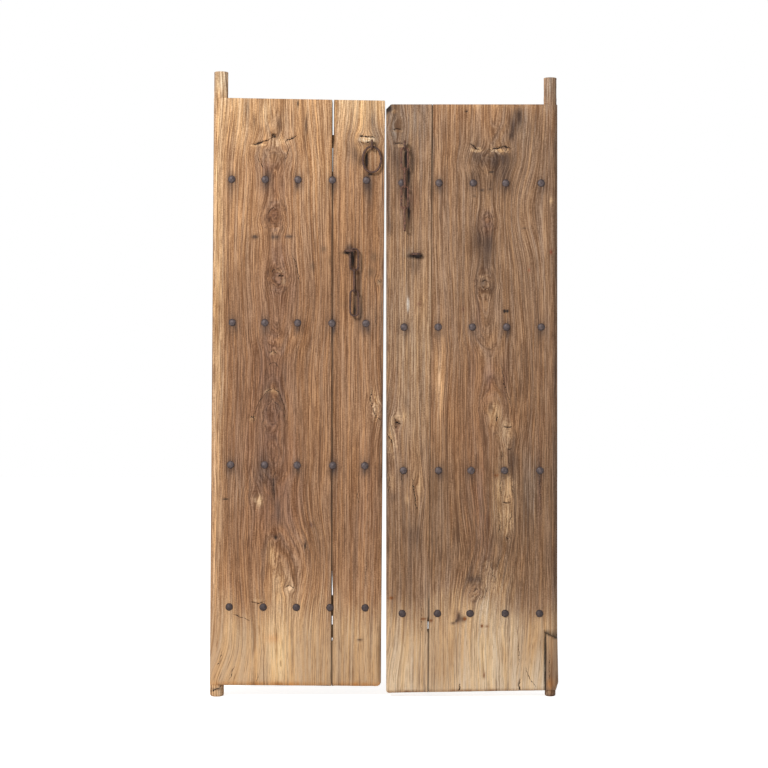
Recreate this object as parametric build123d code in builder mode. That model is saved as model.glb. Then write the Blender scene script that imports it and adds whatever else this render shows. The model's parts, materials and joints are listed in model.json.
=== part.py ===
"""A pair of old plank door leaves that turn on wooden pintles, with clenched nails, a pull ring and two chains.

Lengths are in millimetres. The origin is on the floor, midway between the two pivot axes, at the middle of the
boards' thickness. X runs to the right as seen from the front, Z is up, and the front of the door faces -Y.
"""

import os
from math import atan, atan2, cos, degrees, sin
from types import SimpleNamespace

from build123d import *

# Both leaves
board_thickness = 44
leaf_reach = 502
meeting_gap_top = 3.3
meeting_gap_bottom = 16
board_arris = 3
head_round = 2
foot_round = 7
cut_overrun = 5

# Left leaf: heights, pintles and the joint between its two boards
left_leaf_height = 1792
left_top_fall = 5
left_head_length = 81
left_foot_length = 36
left_pintle_diameter = 43
left_joint_reach_top = 341
left_joint_reach_bottom = 351
left_joint_gap = 4.8
left_corner_wear = 15

# Right leaf: it stands lower, its bottom edge falls to the meeting side, and its lower pintle is a repair block
right_leaf_height = 1788
right_bottom_fall = 8
right_head_length = 83
right_foot_length = 20
right_pintle_diameter = 39
right_foot_diameter = 33
right_joint_reach_top = 360.5
right_joint_reach_bottom = 374
right_joint_gap = 3
right_corner_break = 15
right_corner_wear = 9
block_reach = 17
block_rise = 177
block_top_fall = 18
block_flare = 3
block_flare_height = 43
block_shoulder = 14
block_clearance = 0.2

# The open joint: share of the leaf's height, and share of that leaf's widest gap
left_gap_shares = (
    (0, 0.3), (0.06, 0.3), (0.1, 0.75), (0.165, 0.75), (0.2, 0.35), (0.31, 0.3), (0.36, 0.12),
    (0.8, 0.12), (0.86, 0.3), (0.915, 0.42), (0.93, 0.95), (1, 1),
)
right_gap_shares = (
    (0, 0.45), (0.09, 0.45), (0.1, 0.85), (0.125, 0.85), (0.14, 0.4), (0.2, 0.2), (0.82, 0.2), (0.86, 0.4), (1, 0.45),
)

# Loose tongues across the joint: each reaches a share of the meeting board's width into both boards
tongue_reach_share = 0.3
tongue_height = 40
tongue_thickness = 14
tongue_clearance = 0.2
tongue_height_shares = (0.092, 0.928)

# Battens across the back
batten_height = 61
batten_depth = 38
batten_pivot_margin = 12
batten_meeting_margin = 16
batten_chamfer = 5

# Forged nails, clenched on the battens
nail_head_diameter = 25
nail_head_rise = 7
nail_shank = 8
nail_clearance = 0.1
nail_head_facets = 8
clench_length = 26
clench_tip = 4
clench_thickness = 4
dome_shares = ((0, 1), (0.6, 0.78), (1, 0.34))

# Nail places: shares of the leaf's height for the rows, and of its reach for the nails in each row
left_row_shares = (0.8614, 0.6176, 0.3754, 0.1335)
left_nail_shares = (
    (0.071, 0.275, 0.474, 0.683, 0.890),
    (0.081, 0.278, 0.478, 0.687, 0.893),
    (0.076, 0.283, 0.481, 0.697, 0.892),
    (0.074, 0.281, 0.482, 0.686, 0.900),
)
right_row_shares = (0.8656, 0.6200, 0.3752, 0.1313)
right_nail_shares = (
    (0.058, 0.273, 0.471, 0.679, 0.904),
    (0.058, 0.269, 0.476, 0.684, 0.892),
    (0.065, 0.281, 0.484, 0.682, 0.895),
    (0.068, 0.277, 0.490, 0.688, 0.902),
)

# Bent ironwork: cotter eyes, staples, the pull ring and the chain links
eye_wire = 6
eye_half_height = 13
eye_mouth = 6
eye_neck = 3.5
eye_neck_bend = 3.5
eye_throat_bend = 3
eye_nose_share = 0.65
staple_wire = 7
staple_bend = 7
staple_room = 4
leg_splay = 26
leg_bend_slack = 0.5
wire_clearance = 0.2
ring_wire = 7.5
ring_width = 62
ring_height = 85
ring_end_radius = 22
ring_stand_off = 12.5
link_wire = 6.5
link_play = 0.3
link_room = 1.5
hasp_link_width = 31
hasp_link_lengths = (72, 81, 84)
hasp_spread = 27.5
chain_link_width = 27
chain_link_lengths = (74, 70, 74, 80)
catch_spread = 24
catch_stand_off = 20

# Ironwork places: shares of the meeting board's width, from the joint, and of the leaf's height
left_eye_shares = (0.756, 0.921)
left_staple_shares = (0.341, 0.740)
right_eye_shares = (0.600, 0.928)
right_staple_shares = (0.341, 0.744)

outward = Vector(0, -1, 0)
plumb = Vector(0, 0, 1)
across = plumb.cross(outward)
half_thickness = board_thickness / 2
pivot_x = leaf_reach + meeting_gap_bottom / 2
left_lean = atan((meeting_gap_bottom - meeting_gap_top) / left_leaf_height)
hasp_stand_off = hasp_link_width / 2 + link_room
chain_stand_off = nail_head_rise + chain_link_width / 2 + link_room

# Each leaf's own plane: x from the pivot axis towards the meeting edge, y up the pivot axis
left = SimpleNamespace(
    name="left",
    plane=Plane(origin=(-pivot_x, 0, 0), x_dir=(cos(left_lean), 0, -sin(left_lean)), z_dir=outward),
    height=left_leaf_height,
    top_fall=left_top_fall,
    bottom_fall=0,
    head_length=left_head_length,
    foot_length=left_foot_length,
    head_diameter=left_pintle_diameter,
    joint_reach=(left_joint_reach_bottom, left_joint_reach_top),
    joint_gap=left_joint_gap,
    corner_wear=left_corner_wear,
    gap_shares=left_gap_shares,
    row_shares=left_row_shares,
    nail_shares=left_nail_shares,
    eye_shares=left_eye_shares,
    staple_shares=left_staple_shares,
    staple_spread=hasp_spread,
)
right = SimpleNamespace(
    name="right",
    plane=Plane(origin=(pivot_x, 0, 0), x_dir=(-1, 0, 0), z_dir=-outward),
    height=right_leaf_height,
    top_fall=0,
    bottom_fall=right_bottom_fall,
    head_length=right_head_length,
    foot_length=right_foot_length,
    head_diameter=right_pintle_diameter,
    joint_reach=(right_joint_reach_bottom, right_joint_reach_top),
    joint_gap=right_joint_gap,
    corner_wear=right_corner_wear,
    gap_shares=right_gap_shares,
    row_shares=right_row_shares,
    nail_shares=right_nail_shares,
    eye_shares=right_eye_shares,
    staple_shares=right_staple_shares,
    staple_spread=catch_spread,
)

# Turning axes of the moving pieces: a point and a direction for each
pivots = {}


def save(piece, name):
    """Label a finished piece and write it as one STEP file."""
    piece.label = name
    export_step(piece, f"parts/{name}.step")


def height_at(leaf, share):
    """Height up the leaf's pivot axis at a share of the leaf's height."""
    return leaf.foot_length + leaf.height * share


def joint_at(leaf, share):
    """Reach of the slanting board joint at a share of the leaf's height."""
    low, high = leaf.joint_reach
    return low + (high - low) * share


def top_at(leaf, reach):
    """Height of the leaf's sloping top edge at a reach from the pivot axis."""
    return height_at(leaf, 1) - leaf.top_fall * reach / leaf_reach


def bottom_at(leaf, reach):
    """Height of the leaf's sloping bottom edge at a reach from the pivot axis."""
    return height_at(leaf, 0) - leaf.bottom_fall * reach / leaf_reach


def place(leaf, shares):
    """Reach and height of a piece of ironwork, which is driven through the leaf's meeting board."""
    width_share, height_share = shares
    joint = joint_at(leaf, height_share)
    return joint + (leaf_reach - joint) * width_share, height_at(leaf, height_share)


def point_on(leaf, reach, up, out=0):
    """Point at a reach and height on the leaf, and a distance out from the middle of its thickness."""
    return leaf.plane.from_local_coords(Vector(reach, up, 0)) + outward * out


def level_plane(leaf, up):
    """Plane square across the pivot axis at a height."""
    return Plane(origin=point_on(leaf, 0, up), x_dir=leaf.plane.x_dir, z_dir=leaf.plane.y_dir)


def row_places(leaf, row):
    """Reach and height of each nail in one row."""
    up = height_at(leaf, leaf.row_shares[row])
    return [(leaf_reach * share, up) for share in leaf.nail_shares[row]]


def nail_holes(leaf, rows):
    """Square holes for the nails of some rows, drawn on the leaf's plane."""
    side = nail_shank + nail_clearance * 2
    with BuildSketch(leaf.plane) as holes:
        for row in rows:
            with Locations(*row_places(leaf, row)):
                Rectangle(side, side)
    return holes.sketch


def wire_holes(leaf):
    """Holes for the cotter eye's paired legs and for the two legs of the staple, drawn on the leaf's plane."""
    eye_hole = eye_wire + wire_clearance * 2
    staple_reach, staple_up = place(leaf, leaf.staple_shares)
    with BuildSketch(leaf.plane) as holes:
        with Locations(place(leaf, leaf.eye_shares)):
            SlotOverall(eye_hole * 2 + wire_clearance, eye_hole + wire_clearance, rotation=90)
        for side in (-1, 1):
            with Locations((staple_reach + side * leaf.staple_spread / 2, staple_up)):
                Circle(staple_wire / 2 + wire_clearance)
    return holes.sketch


def tongue_outline(leaf, share, clearance):
    """Outline of one loose tongue on the leaf's plane, across the joint and grown by a clearance."""
    joint = joint_at(leaf, share)
    length = (leaf_reach - joint) * tongue_reach_share * 2
    with BuildSketch(leaf.plane) as outline:
        with Locations((joint, height_at(leaf, share))):
            Rectangle(length + clearance * 2, tongue_height + clearance * 2)
    return outline.sketch


def block_top(reach):
    """Height of the repair block's slanting top at a reach from the right pivot axis."""
    slope = block_top_fall / (block_reach + half_thickness)
    return height_at(right, 0) + block_rise - slope * (block_reach - reach)


def block_outline(clearance):
    """Front outline of the let-in block, open at the hanging edge, grown by a clearance at its two joints."""
    inner = block_reach + clearance
    outer = -half_thickness - block_flare - cut_overrun
    with BuildSketch(right.plane) as outline:
        with BuildLine():
            Polyline(
                (outer, -cut_overrun),
                (inner, -cut_overrun),
                (inner, block_top(inner) + clearance),
                (outer, block_top(outer) + clearance),
                close=True,
            )
        make_face()
    return outline.sketch


def make_pivot_board(leaf):
    """Wide plank with a half-round hanging edge and its pintles cut from the same wood."""
    joint_low, joint_high = leaf.joint_reach
    widest = max(leaf.joint_reach)
    with BuildPart() as board:
        with BuildSketch(level_plane(leaf, height_at(leaf, 0) - leaf.bottom_fall)):
            Circle(half_thickness)
            with Locations((widest / 2, 0)):
                Rectangle(widest, board_thickness)
        extrude(amount=leaf.height + leaf.bottom_fall)
        with BuildSketch(leaf.plane):
            with BuildLine():
                Polyline(
                    (-board_thickness, bottom_at(leaf, 0)),
                    (0, bottom_at(leaf, 0)),
                    (joint_low, bottom_at(leaf, joint_low)),
                    (joint_high, top_at(leaf, joint_high)),
                    (0, top_at(leaf, 0)),
                    (-board_thickness, top_at(leaf, 0)),
                    close=True,
                )
            make_face()
        extrude(amount=board_thickness, both=True, mode=Mode.INTERSECT)
        with BuildSketch(level_plane(leaf, height_at(leaf, 1))):
            Circle(leaf.head_diameter / 2)
        extrude(amount=leaf.head_length)
        ends = board.edges().sort_by(Axis((0, 0, 0), leaf.plane.y_dir))
        fillet(ends[-1], head_round)
        if leaf is left:
            with BuildSketch(level_plane(leaf, height_at(leaf, 0))):
                Circle(left_pintle_diameter / 2)
            extrude(amount=-leaf.foot_length)
            ends = board.edges().sort_by(Axis((0, 0, 0), leaf.plane.y_dir))
            fillet(ends[0], foot_round)
        else:
            extrude(block_outline(block_clearance), amount=board_thickness, both=True, mode=Mode.SUBTRACT)
        extrude(nail_holes(leaf, range(len(leaf.row_shares))), amount=board_thickness, both=True, mode=Mode.SUBTRACT)
        extrude(wire_holes(leaf), amount=board_thickness, both=True, mode=Mode.SUBTRACT)
        mortise_depth = tongue_thickness / 2 + tongue_clearance
        for share in tongue_height_shares:
            mortise = tongue_outline(leaf, share, tongue_clearance)
            extrude(mortise, amount=mortise_depth, both=True, mode=Mode.SUBTRACT)
    save(board.part, f"{leaf.name}_pivot_board")


def make_meeting_board(leaf):
    """Narrow plank that closes against the other leaf, shrunk away from the pivot board along its joint."""
    joint_edge = [
        (joint_at(leaf, share) + leaf.joint_gap * gap_share, share) for share, gap_share in leaf.gap_shares
    ]
    joint_line = [(reach, height_at(leaf, share)) for reach, share in joint_edge]
    joint_line[0] = (joint_edge[0][0], bottom_at(leaf, joint_edge[0][0]))
    joint_line[-1] = (joint_edge[-1][0], top_at(leaf, joint_edge[-1][0]))
    with BuildPart() as board:
        with BuildSketch(leaf.plane) as outline:
            with BuildLine():
                Polyline(
                    *joint_line,
                    (leaf_reach, top_at(leaf, leaf_reach)),
                    (leaf_reach, bottom_at(leaf, leaf_reach)),
                    close=True,
                )
            make_face()
            meeting_corners = outline.vertices().group_by(Axis.X)[-1].sort_by(Axis.Y)
            fillet(meeting_corners[0], leaf.corner_wear)
            if leaf is right:
                chamfer(outline.vertices().group_by(Axis.X)[-1].sort_by(Axis.Y)[-1], right_corner_break)
        extrude(amount=half_thickness, both=True)
        fillet(board.edges().filter_by(Axis((0, 0, 0), leaf.plane.y_dir)), board_arris)
        extrude(nail_holes(leaf, range(len(leaf.row_shares))), amount=board_thickness, both=True, mode=Mode.SUBTRACT)
        extrude(wire_holes(leaf), amount=board_thickness, both=True, mode=Mode.SUBTRACT)
        mortise_depth = tongue_thickness / 2 + tongue_clearance
        for share in tongue_height_shares:
            mortise = tongue_outline(leaf, share, tongue_clearance)
            extrude(mortise, amount=mortise_depth, both=True, mode=Mode.SUBTRACT)
    save(board.part, f"{leaf.name}_meeting_board")


def make_tongue(leaf, name, share):
    """Loose tongue that bridges the joint inside the boards' thickness."""
    with BuildPart() as tongue:
        extrude(tongue_outline(leaf, share, 0), amount=tongue_thickness / 2, both=True)
    save(tongue.part, f"{leaf.name}_{name}_tongue")


def make_foot_block():
    """Repair block let into the right pivot board's lower corner, flared at its foot and tapered to its pintle."""
    foot_radius = right_foot_diameter / 2
    foot = height_at(right, 0)
    with BuildPart() as block:
        with BuildSketch(right.plane):
            with BuildLine():
                Polyline(
                    (0, 0),
                    (foot_radius, 0),
                    (foot_radius, block_shoulder),
                    (half_thickness + block_flare, block_flare_height),
                    (half_thickness, foot + block_rise),
                    (0, foot + block_rise),
                    close=True,
                )
            make_face()
        revolve(axis=Axis(right.plane.origin, right.plane.y_dir))
        with BuildSketch(right.plane):
            with Locations((block_reach / 2, foot + block_rise / 2)):
                Rectangle(block_reach, block_rise)
        extrude(amount=half_thickness, both=True)
        extrude(block_outline(0), amount=half_thickness, both=True, mode=Mode.INTERSECT)
        fillet(block.edges().sort_by(Axis.Z)[0], foot_round)
    save(block.part, "right_foot_block")


def make_batten(leaf, row):
    """Batten nailed across the back, its free edges chamfered."""
    length = leaf_reach - batten_pivot_margin - batten_meeting_margin
    middle = batten_pivot_margin + length / 2
    up = height_at(leaf, leaf.row_shares[row])
    back = Plane(
        origin=point_on(leaf, middle, up, -half_thickness), x_dir=leaf.plane.x_dir, z_dir=-outward
    )
    with BuildPart() as batten:
        with BuildSketch(back):
            Rectangle(length, batten_height)
        extrude(amount=batten_depth)
        chamfer(batten.faces().sort_by(Axis.Y)[-1].edges(), batten_chamfer)
        through = board_thickness + batten_depth
        extrude(nail_holes(leaf, [row]), amount=through, both=True, mode=Mode.SUBTRACT)
    save(batten.part, f"{leaf.name}_batten_{row + 1}")


def make_nails(leaf, row):
    """Row of forged nails: a faceted dome in front, a square shank, and a tip bent over on the batten."""
    shank_length = board_thickness + batten_depth + clench_thickness
    with BuildPart() as nails:
        for reach, up in row_places(leaf, row):
            face = Plane(
                origin=point_on(leaf, reach, up, half_thickness), x_dir=leaf.plane.x_dir, z_dir=outward
            )
            for rise_share, width_share in dome_shares:
                with BuildSketch(face.offset(nail_head_rise * rise_share)):
                    RegularPolygon(nail_head_diameter / 2 * width_share, nail_head_facets)
            loft(ruled=True)
            with BuildSketch(face):
                Rectangle(nail_shank, nail_shank)
            extrude(amount=-shank_length)
            with BuildSketch(face.offset(-shank_length)):
                with BuildLine():
                    Polyline(
                        (-nail_shank / 2, 0),
                        (-clench_tip / 2, clench_length),
                        (clench_tip / 2, clench_length),
                        (nail_shank / 2, 0),
                        close=True,
                    )
                make_face()
            extrude(amount=clench_thickness)
    save(nails.part, f"{leaf.name}_nails_{row + 1}")


def make_eye(leaf, name, stand_off, held_wire):
    """Cotter eye: one wire bent into a loop, both legs through the board and splayed up and down at the back.

    Returns the middle of the loop's lower wire, which carries the ring or the chain."""
    reach, up = place(leaf, leaf.eye_shares)
    radius = eye_wire / 2
    half_pair = radius + wire_clearance / 2
    nose = stand_off + held_wire / 2 + eye_wire
    throat = stand_off - eye_mouth
    back_bend = radius + leg_bend_slack
    behind = -board_thickness - back_bend
    side = Plane(
        origin=point_on(leaf, reach, up, half_thickness),
        x_dir=outward,
        z_dir=outward.cross(leaf.plane.y_dir),
    )
    upper_half = [
        (behind, leg_splay),
        (behind, half_pair),
        (throat - eye_neck, half_pair),
        (throat, eye_half_height),
        (nose, eye_half_height),
    ]
    lower_half = [(out, -rise) for out, rise in reversed(upper_half)]
    bends = [back_bend, eye_neck_bend, eye_throat_bend, eye_half_height * eye_nose_share]
    with BuildPart() as eye:
        with BuildLine(side) as wire:
            FilletPolyline(*upper_half, *lower_half, radius=[*bends, *reversed(bends)])
        with BuildSketch(Plane(origin=wire.line @ 0, z_dir=wire.line % 0)):
            Circle(radius)
        sweep()
    save(eye.part, name)
    return point_on(leaf, reach, up - eye_half_height, half_thickness + stand_off)


def make_staple(leaf, name, bar_out):
    """Wire staple with its bar across the front, both legs through the board and splayed apart at the back.

    Returns the middle of the leg nearer to the meeting edge, at the front of the board."""
    reach, up = place(leaf, leaf.staple_shares)
    radius = staple_wire / 2
    half_spread = leaf.staple_spread / 2
    back_bend = radius + leg_bend_slack
    behind = -board_thickness - back_bend
    flat = Plane(
        origin=point_on(leaf, reach, up, half_thickness), x_dir=leaf.plane.x_dir, z_dir=leaf.plane.y_dir
    )
    front = flat.to_local_coords(flat.origin + outward).Y
    left_half = [
        (-half_spread - leg_splay, behind * front),
        (-half_spread, behind * front),
        (-half_spread, bar_out * front),
    ]
    right_half = [(-across, out) for across, out in reversed(left_half)]
    with BuildPart() as staple:
        with BuildLine(flat) as wire:
            FilletPolyline(*left_half, *right_half, radius=[back_bend, staple_bend, staple_bend, back_bend])
        with BuildSketch(Plane(origin=wire.line @ 0, z_dir=wire.line % 0)):
            Circle(radius)
        sweep()
    save(staple.part, name)
    return point_on(leaf, reach + half_spread, up, half_thickness)


def make_ring(carrier):
    """Oval pull ring of forged rod, hanging flat to the door on the eye's lower wire."""
    half_width = (ring_width - ring_wire) / 2
    half_height = (ring_height - ring_wire) / 2
    end_middle = half_height - ring_end_radius
    side_radius = (half_width**2 + end_middle**2 - ring_end_radius**2) / (half_width - ring_end_radius) / 2
    side_middle = side_radius - half_width
    meet = degrees(atan2(end_middle, side_middle))
    top = carrier + plumb * (eye_wire / 2 + ring_wire / 2 + link_play)
    oval = Plane(origin=top - plumb * half_height, x_dir=across, z_dir=outward)
    with BuildPart() as ring:
        with BuildLine(oval):
            CenterArc((-side_middle, 0), side_radius, 0, meet)
            CenterArc((0, end_middle), ring_end_radius, meet, 180 - meet * 2)
            CenterArc((side_middle, 0), side_radius, 180 - meet, meet)
        with BuildSketch(Plane(origin=oval.from_local_coords((half_width, 0, 0)), z_dir=plumb)):
            Circle(ring_wire / 2)
        sweep()
        mirror(about=Plane(origin=oval.origin, z_dir=plumb))
    save(ring.part, "left_pull_ring")
    pivots["left_pull_ring"] = (top, -across)


def make_chain(name, carrier, carrier_wire, lengths, width):
    """Chain of oval links, each hung in the one above, turned flat to the door and edge-on by turns."""
    half_width = (width - link_wire) / 2
    for number, length in enumerate(lengths, start=1):
        flat_on = number % 2 == 1
        half_length = (length - link_wire) / 2
        straight = half_length - half_width
        top = carrier + plumb * (carrier_wire / 2 + link_wire / 2 + link_play)
        wide_way, face_way = (across, outward) if flat_on else (outward, -across)
        oval = Plane(origin=top - plumb * half_length, x_dir=wide_way, z_dir=face_way)
        with BuildPart() as link:
            with BuildLine(oval):
                Line((half_width, 0), (half_width, straight))
                ThreePointArc((half_width, straight), (0, half_length), (-half_width, straight))
                Line((-half_width, straight), (-half_width, 0))
            with BuildSketch(Plane(origin=oval.from_local_coords((half_width, 0, 0)), z_dir=plumb)):
                Circle(link_wire / 2)
            sweep()
            mirror(about=Plane(origin=oval.origin, z_dir=plumb))
        save(link.part, f"{name}_{number}")
        pivots[f"{name}_{number}"] = (carrier, outward if flat_on else -across)
        carrier = top - plumb * half_length * 2
        carrier_wire = link_wire


os.makedirs("parts", exist_ok=True)

for leaf in (left, right):
    make_pivot_board(leaf)
    make_meeting_board(leaf)
    for name, share in zip(("lower", "upper"), tongue_height_shares):
        make_tongue(leaf, name, share)
    for row in range(len(leaf.row_shares)):
        make_batten(leaf, row)
        make_nails(leaf, row)

make_foot_block()
pivots["right_leaf"] = (right.plane.origin, -right.plane.y_dir)

ring_carrier = make_eye(left, "left_ring_eye", ring_stand_off, ring_wire)
make_ring(ring_carrier)

hasp_bar_out = hasp_stand_off + link_wire / 2 + staple_wire / 2 + staple_room
hasp_leg = make_staple(left, "left_hasp_staple", hasp_bar_out)
hasp_carrier = hasp_leg + outward * hasp_stand_off
make_chain("left_hasp_link", hasp_carrier, staple_wire, hasp_link_lengths, hasp_link_width)

chain_carrier = make_eye(right, "right_chain_eye", chain_stand_off, link_wire)
make_chain("right_chain_link", chain_carrier, eye_wire, chain_link_lengths, chain_link_width)
make_staple(right, "right_catch_staple", catch_stand_off)
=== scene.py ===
"""Looks of an old pair of plank door leaves on wooden pintles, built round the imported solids.

Sizes are in millimetres along each leaf: reach from its pivot axis, height up that axis, and out from the
middle of the boards' thickness. They become metres in the shared frame only where a mesh is made.
"""

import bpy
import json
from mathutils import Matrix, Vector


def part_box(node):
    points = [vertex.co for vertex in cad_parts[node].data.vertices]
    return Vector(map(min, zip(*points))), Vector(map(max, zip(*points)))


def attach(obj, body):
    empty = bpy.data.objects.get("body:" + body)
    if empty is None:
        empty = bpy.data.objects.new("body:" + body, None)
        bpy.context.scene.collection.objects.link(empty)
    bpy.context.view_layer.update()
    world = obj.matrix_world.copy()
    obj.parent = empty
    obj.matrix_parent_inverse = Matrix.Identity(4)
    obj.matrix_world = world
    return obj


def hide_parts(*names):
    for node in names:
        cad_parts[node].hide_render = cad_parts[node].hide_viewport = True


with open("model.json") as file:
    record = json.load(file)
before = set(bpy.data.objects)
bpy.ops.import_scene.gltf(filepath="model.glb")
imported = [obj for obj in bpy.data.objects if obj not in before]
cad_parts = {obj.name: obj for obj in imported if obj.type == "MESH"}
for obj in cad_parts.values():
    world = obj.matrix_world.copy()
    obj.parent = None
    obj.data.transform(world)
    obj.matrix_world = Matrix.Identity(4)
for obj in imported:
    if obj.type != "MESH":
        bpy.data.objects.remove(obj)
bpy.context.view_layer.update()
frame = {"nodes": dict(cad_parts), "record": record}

import json
from math import radians
from types import SimpleNamespace

import bmesh
import bpy
import numpy as np

# Left pivot board
# A wide elm plank, hand planed, with its hanging edge rounded and both pintles cut from the same wood.
# It turns in sockets of the doorway, and the nails hold it to the battens behind.
metre = 1000
half_thickness = 22
leaf_reach = 502
arris = 2.4
joint_arris = 1.0
left_foot = 36
left_top = 1828
left_top_slope = -5 / leaf_reach
no_crack = 99.0


def leaf_frame(side):
    """Pivot axis from a leaf's two pintle mounts: a point on the floor, then reach, up and outward ways."""
    places = {mount["name"]: np.array(mount["pos_m"]) for mount in frame["record"]["mounts"]}
    low = places[f"{side}_lower_pivot"]
    along = places[f"{side}_upper_pivot"] - low
    up = along / np.linalg.norm(along)
    out = np.array([0.0, -1.0, 0.0])
    reach = np.cross(up, out) * (1 if side == "left" else -1)
    return low - up * low[2] / up[2], reach, up, out


leaves = {side: leaf_frame(side) for side in ("left", "right")}


def to_frame(side, reach, up, out):
    """Origin of the leaf, plus each length in metres times its own way."""
    origin, *ways = leaves[side]
    steps = [np.asarray(length)[..., None] / metre * way for length, way in zip((reach, up, out), ways)]
    return origin + sum(steps)


def to_leaf(side, points):
    """Reach, height and outward millimetres of points of the frame, each the dot product with its own way."""
    origin, *ways = leaves[side]
    return [(np.asarray(points) - origin) @ way * metre for way in ways]


def nail_places(side, row):
    """Reach and height of each nail in a row: the middles of the groups of points on top of solid heads."""
    top_depth, nail_gap = 0.0005, 0.02
    node = frame["nodes"][f"{side}_nails_{row}"].data
    points = np.empty(len(node.vertices) * 3, np.float32)
    node.vertices.foreach_get("co", points)
    points = points.reshape(-1, 3)
    tops = points[points[:, 1] < points[:, 1].min() + top_depth]
    tops = tops[np.argsort(tops[:, 0])]
    groups = np.split(tops, np.flatnonzero(np.diff(tops[:, 0]) > nail_gap) + 1)
    reach, up, _ = to_leaf(side, [(group.min(0) + group.max(0)) / 2 for group in groups])
    return list(zip(reach, up))


def ripple(x, y, seed):
    """Random values from -1 to 1 on a unit lattice, joined by smoothstep weights both ways."""
    size = 64
    table = np.random.default_rng(seed).uniform(-1, 1, (size, size))
    x0, y0 = np.floor(x).astype(int), np.floor(y).astype(int)
    fx, fy = x - x0, y - y0
    fx, fy = fx * fx * (3 - 2 * fx), fy * fy * (3 - 2 * fy)
    low = table[x0 % size, y0 % size] * (1 - fx) + table[(x0 + 1) % size, y0 % size] * fx
    high = table[x0 % size, (y0 + 1) % size] * (1 - fx) + table[(x0 + 1) % size, (y0 + 1) % size] * fx
    return low * (1 - fy) + high * fy


def waves(x, y, seed, *layers):
    """Sum of ripples, each with its height, its sizes along x and y, and a seed one on from the last."""
    numbered = enumerate(layers, seed)
    return sum(rise * ripple(x / x_size, y / y_size, number) for number, (rise, x_size, y_size) in numbered)


def bell(*offs):
    """Falls from 1 in the middle to 0, by e to the minus sum of the squared offsets."""
    return np.exp(-sum(np.square(off) for off in offs))


def off_middle(reach, up, middle, spread):
    """Offsets both ways from a middle, each in shares of its spread."""
    return (reach - middle[0]) / spread[0], (up - middle[1]) / spread[1]


def bend(places, at):
    """Smooth line through a few places: cubic in each span, with the slope of its neighbours at each one."""
    x, y = np.array(places, float).T
    slope = np.gradient(y, x)
    span = np.clip(np.searchsorted(x, at) - 1, 0, len(x) - 2)
    width = x[span + 1] - x[span]
    t = np.clip((at - x[span]) / width, 0, 1)
    start = y[span] * (1 + 2 * t) * (1 - t) ** 2 + slope[span] * width * t * (1 - t) ** 2
    end = y[span + 1] * (3 - 2 * t) * t**2 - slope[span + 1] * width * (1 - t) * t**2
    return start + end


def ring_distance(board, reach, up, out):
    """Distance from the tree's pith: root of reach off the heart line squared plus depth of the pith squared.

    Slow waves and a few sideways sweeps bend the lines, and the heart's wandering fades with distance. Round
    each knot they part, each moved off its middle by a share that fades as a bell, and a narrower bell closes
    a few of them into ragged rings. Returns the distance and the bent reach."""
    parted_share, wide_bell, narrow_bell = 0.85, 0.5, 1.6
    wander_spread, wild_spread = 110, 60
    across = reach + waves(up, reach, board.seed, (2, 300, 160), (0.8, 70, 50))
    for middle, spread, shift in board.sweeps:
        across = across + shift * bell(*off_middle(reach, up, middle, spread))
    wild_reach = reach + waves(up, reach, board.seed + 20, (5, 19, 17), (3, 8, 7))
    wild_up = up + waves(reach, up, board.seed + 22, (6, 19, 21), (3, 8, 9))
    closing = np.zeros(reach.shape)
    for middle, spread, rise in board.knots:
        near = bell(*off_middle(wild_reach, wild_up, middle, spread))
        across = across - parted_share * (reach - middle[0]) * near**wide_bell
        closing = closing + rise * near**narrow_bell
    home = np.mean([place for _, place in board.heart_line])
    wander = (bend(board.heart_line, up) - home) * bell((reach - home) / wander_spread)
    depth = bend(board.pith_depth, up) + half_thickness - out
    wild = waves(up, reach, board.seed + 24, (3, 34, 12)) * bell((reach - home) / wild_spread)
    return np.hypot(across - home - wander, depth) + closing + wild, across


def linear(colour):
    """sRGB hex colour as linear light."""
    share = np.array([int(colour[start:start + 2], 16) for start in (1, 3, 5)]) / 255
    return np.where(share <= 0.04045, share / 12.92, ((share + 0.055) / 1.055) ** 2.4)


# Tones of the wood: bleached sapwood, honey where hands and rain reach, brown heart and sooty weather
# Some pale and honey stains also paint highlight, and some soot and black ones paint shade and shadows.
pale, honey, tan, brown, heart = "#D3AE84", "#C59C74", "#A57E5D", "#896550", "#775744"
straw, drab, nut, umber = "#C1A07C", "#97785E", "#946F51", "#83654C"
soot_and_shade, black, torn_fibre = "#574439", "#2A211D", "#D9B48C"
bleached, cream, amber, copper = "#D8BF9F", "#E4C496", "#D0A070", "#BF8A55"


def laid_over(colour, tone, share):
    """Colour moved towards a tone by a share."""
    return colour + (tone - colour) * share[..., None]


def tint(board, reach, up, out):
    """Tones laid one into the next up the board, then each stain over the front, a bell with a ragged edge.

    Broad stains lie under small ones. Each large knot gets three ragged rims of dark bark."""
    barked_rise, rim_width, most_bark, bark = 9, 0.13, 0.7, linear(heart) * 0.7
    heights, tones = zip(*board.tones)
    blurred = up + waves(reach, up, board.seed + 12, (60, 40, 160))
    channels = np.array([linear(tone) for tone in tones]).T
    colour = np.stack([np.interp(blurred, heights, channel) for channel in channels], axis=-1)
    front = np.clip(out / half_thickness, 0, 1)
    ragged = 1 + waves(reach, up, board.seed + 2, (0.45, 13, 70), (0.25, 5, 22))
    stains = [(tone, *stain) for tone, group in board.stains.items() for stain in group]
    for tone, *middle, wide, tall, strength in sorted(stains, key=lambda stain: -stain[3] * stain[4]):
        share = strength * bell(*off_middle(reach, up, middle, (wide, tall))) * ragged * front
        colour = laid_over(colour, linear(tone), np.clip(share, 0, 1))
    for middle, spread, rise in board.knots:
        if rise > barked_rise:
            off = np.hypot(*off_middle(reach, up, middle, spread))
            off = off + waves(reach, up, board.seed + 13, (0.25, 9, 9))
            rims = sum(bell((off - at) / rim_width) for at in (0.35, 0.85, 1.35))
            share = rims * (0.35 + waves(reach, up, board.seed + 14, (0.9, 6, 6))) * front
            colour = laid_over(colour, bark, np.clip(share, 0, most_bark))
    return colour


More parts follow.
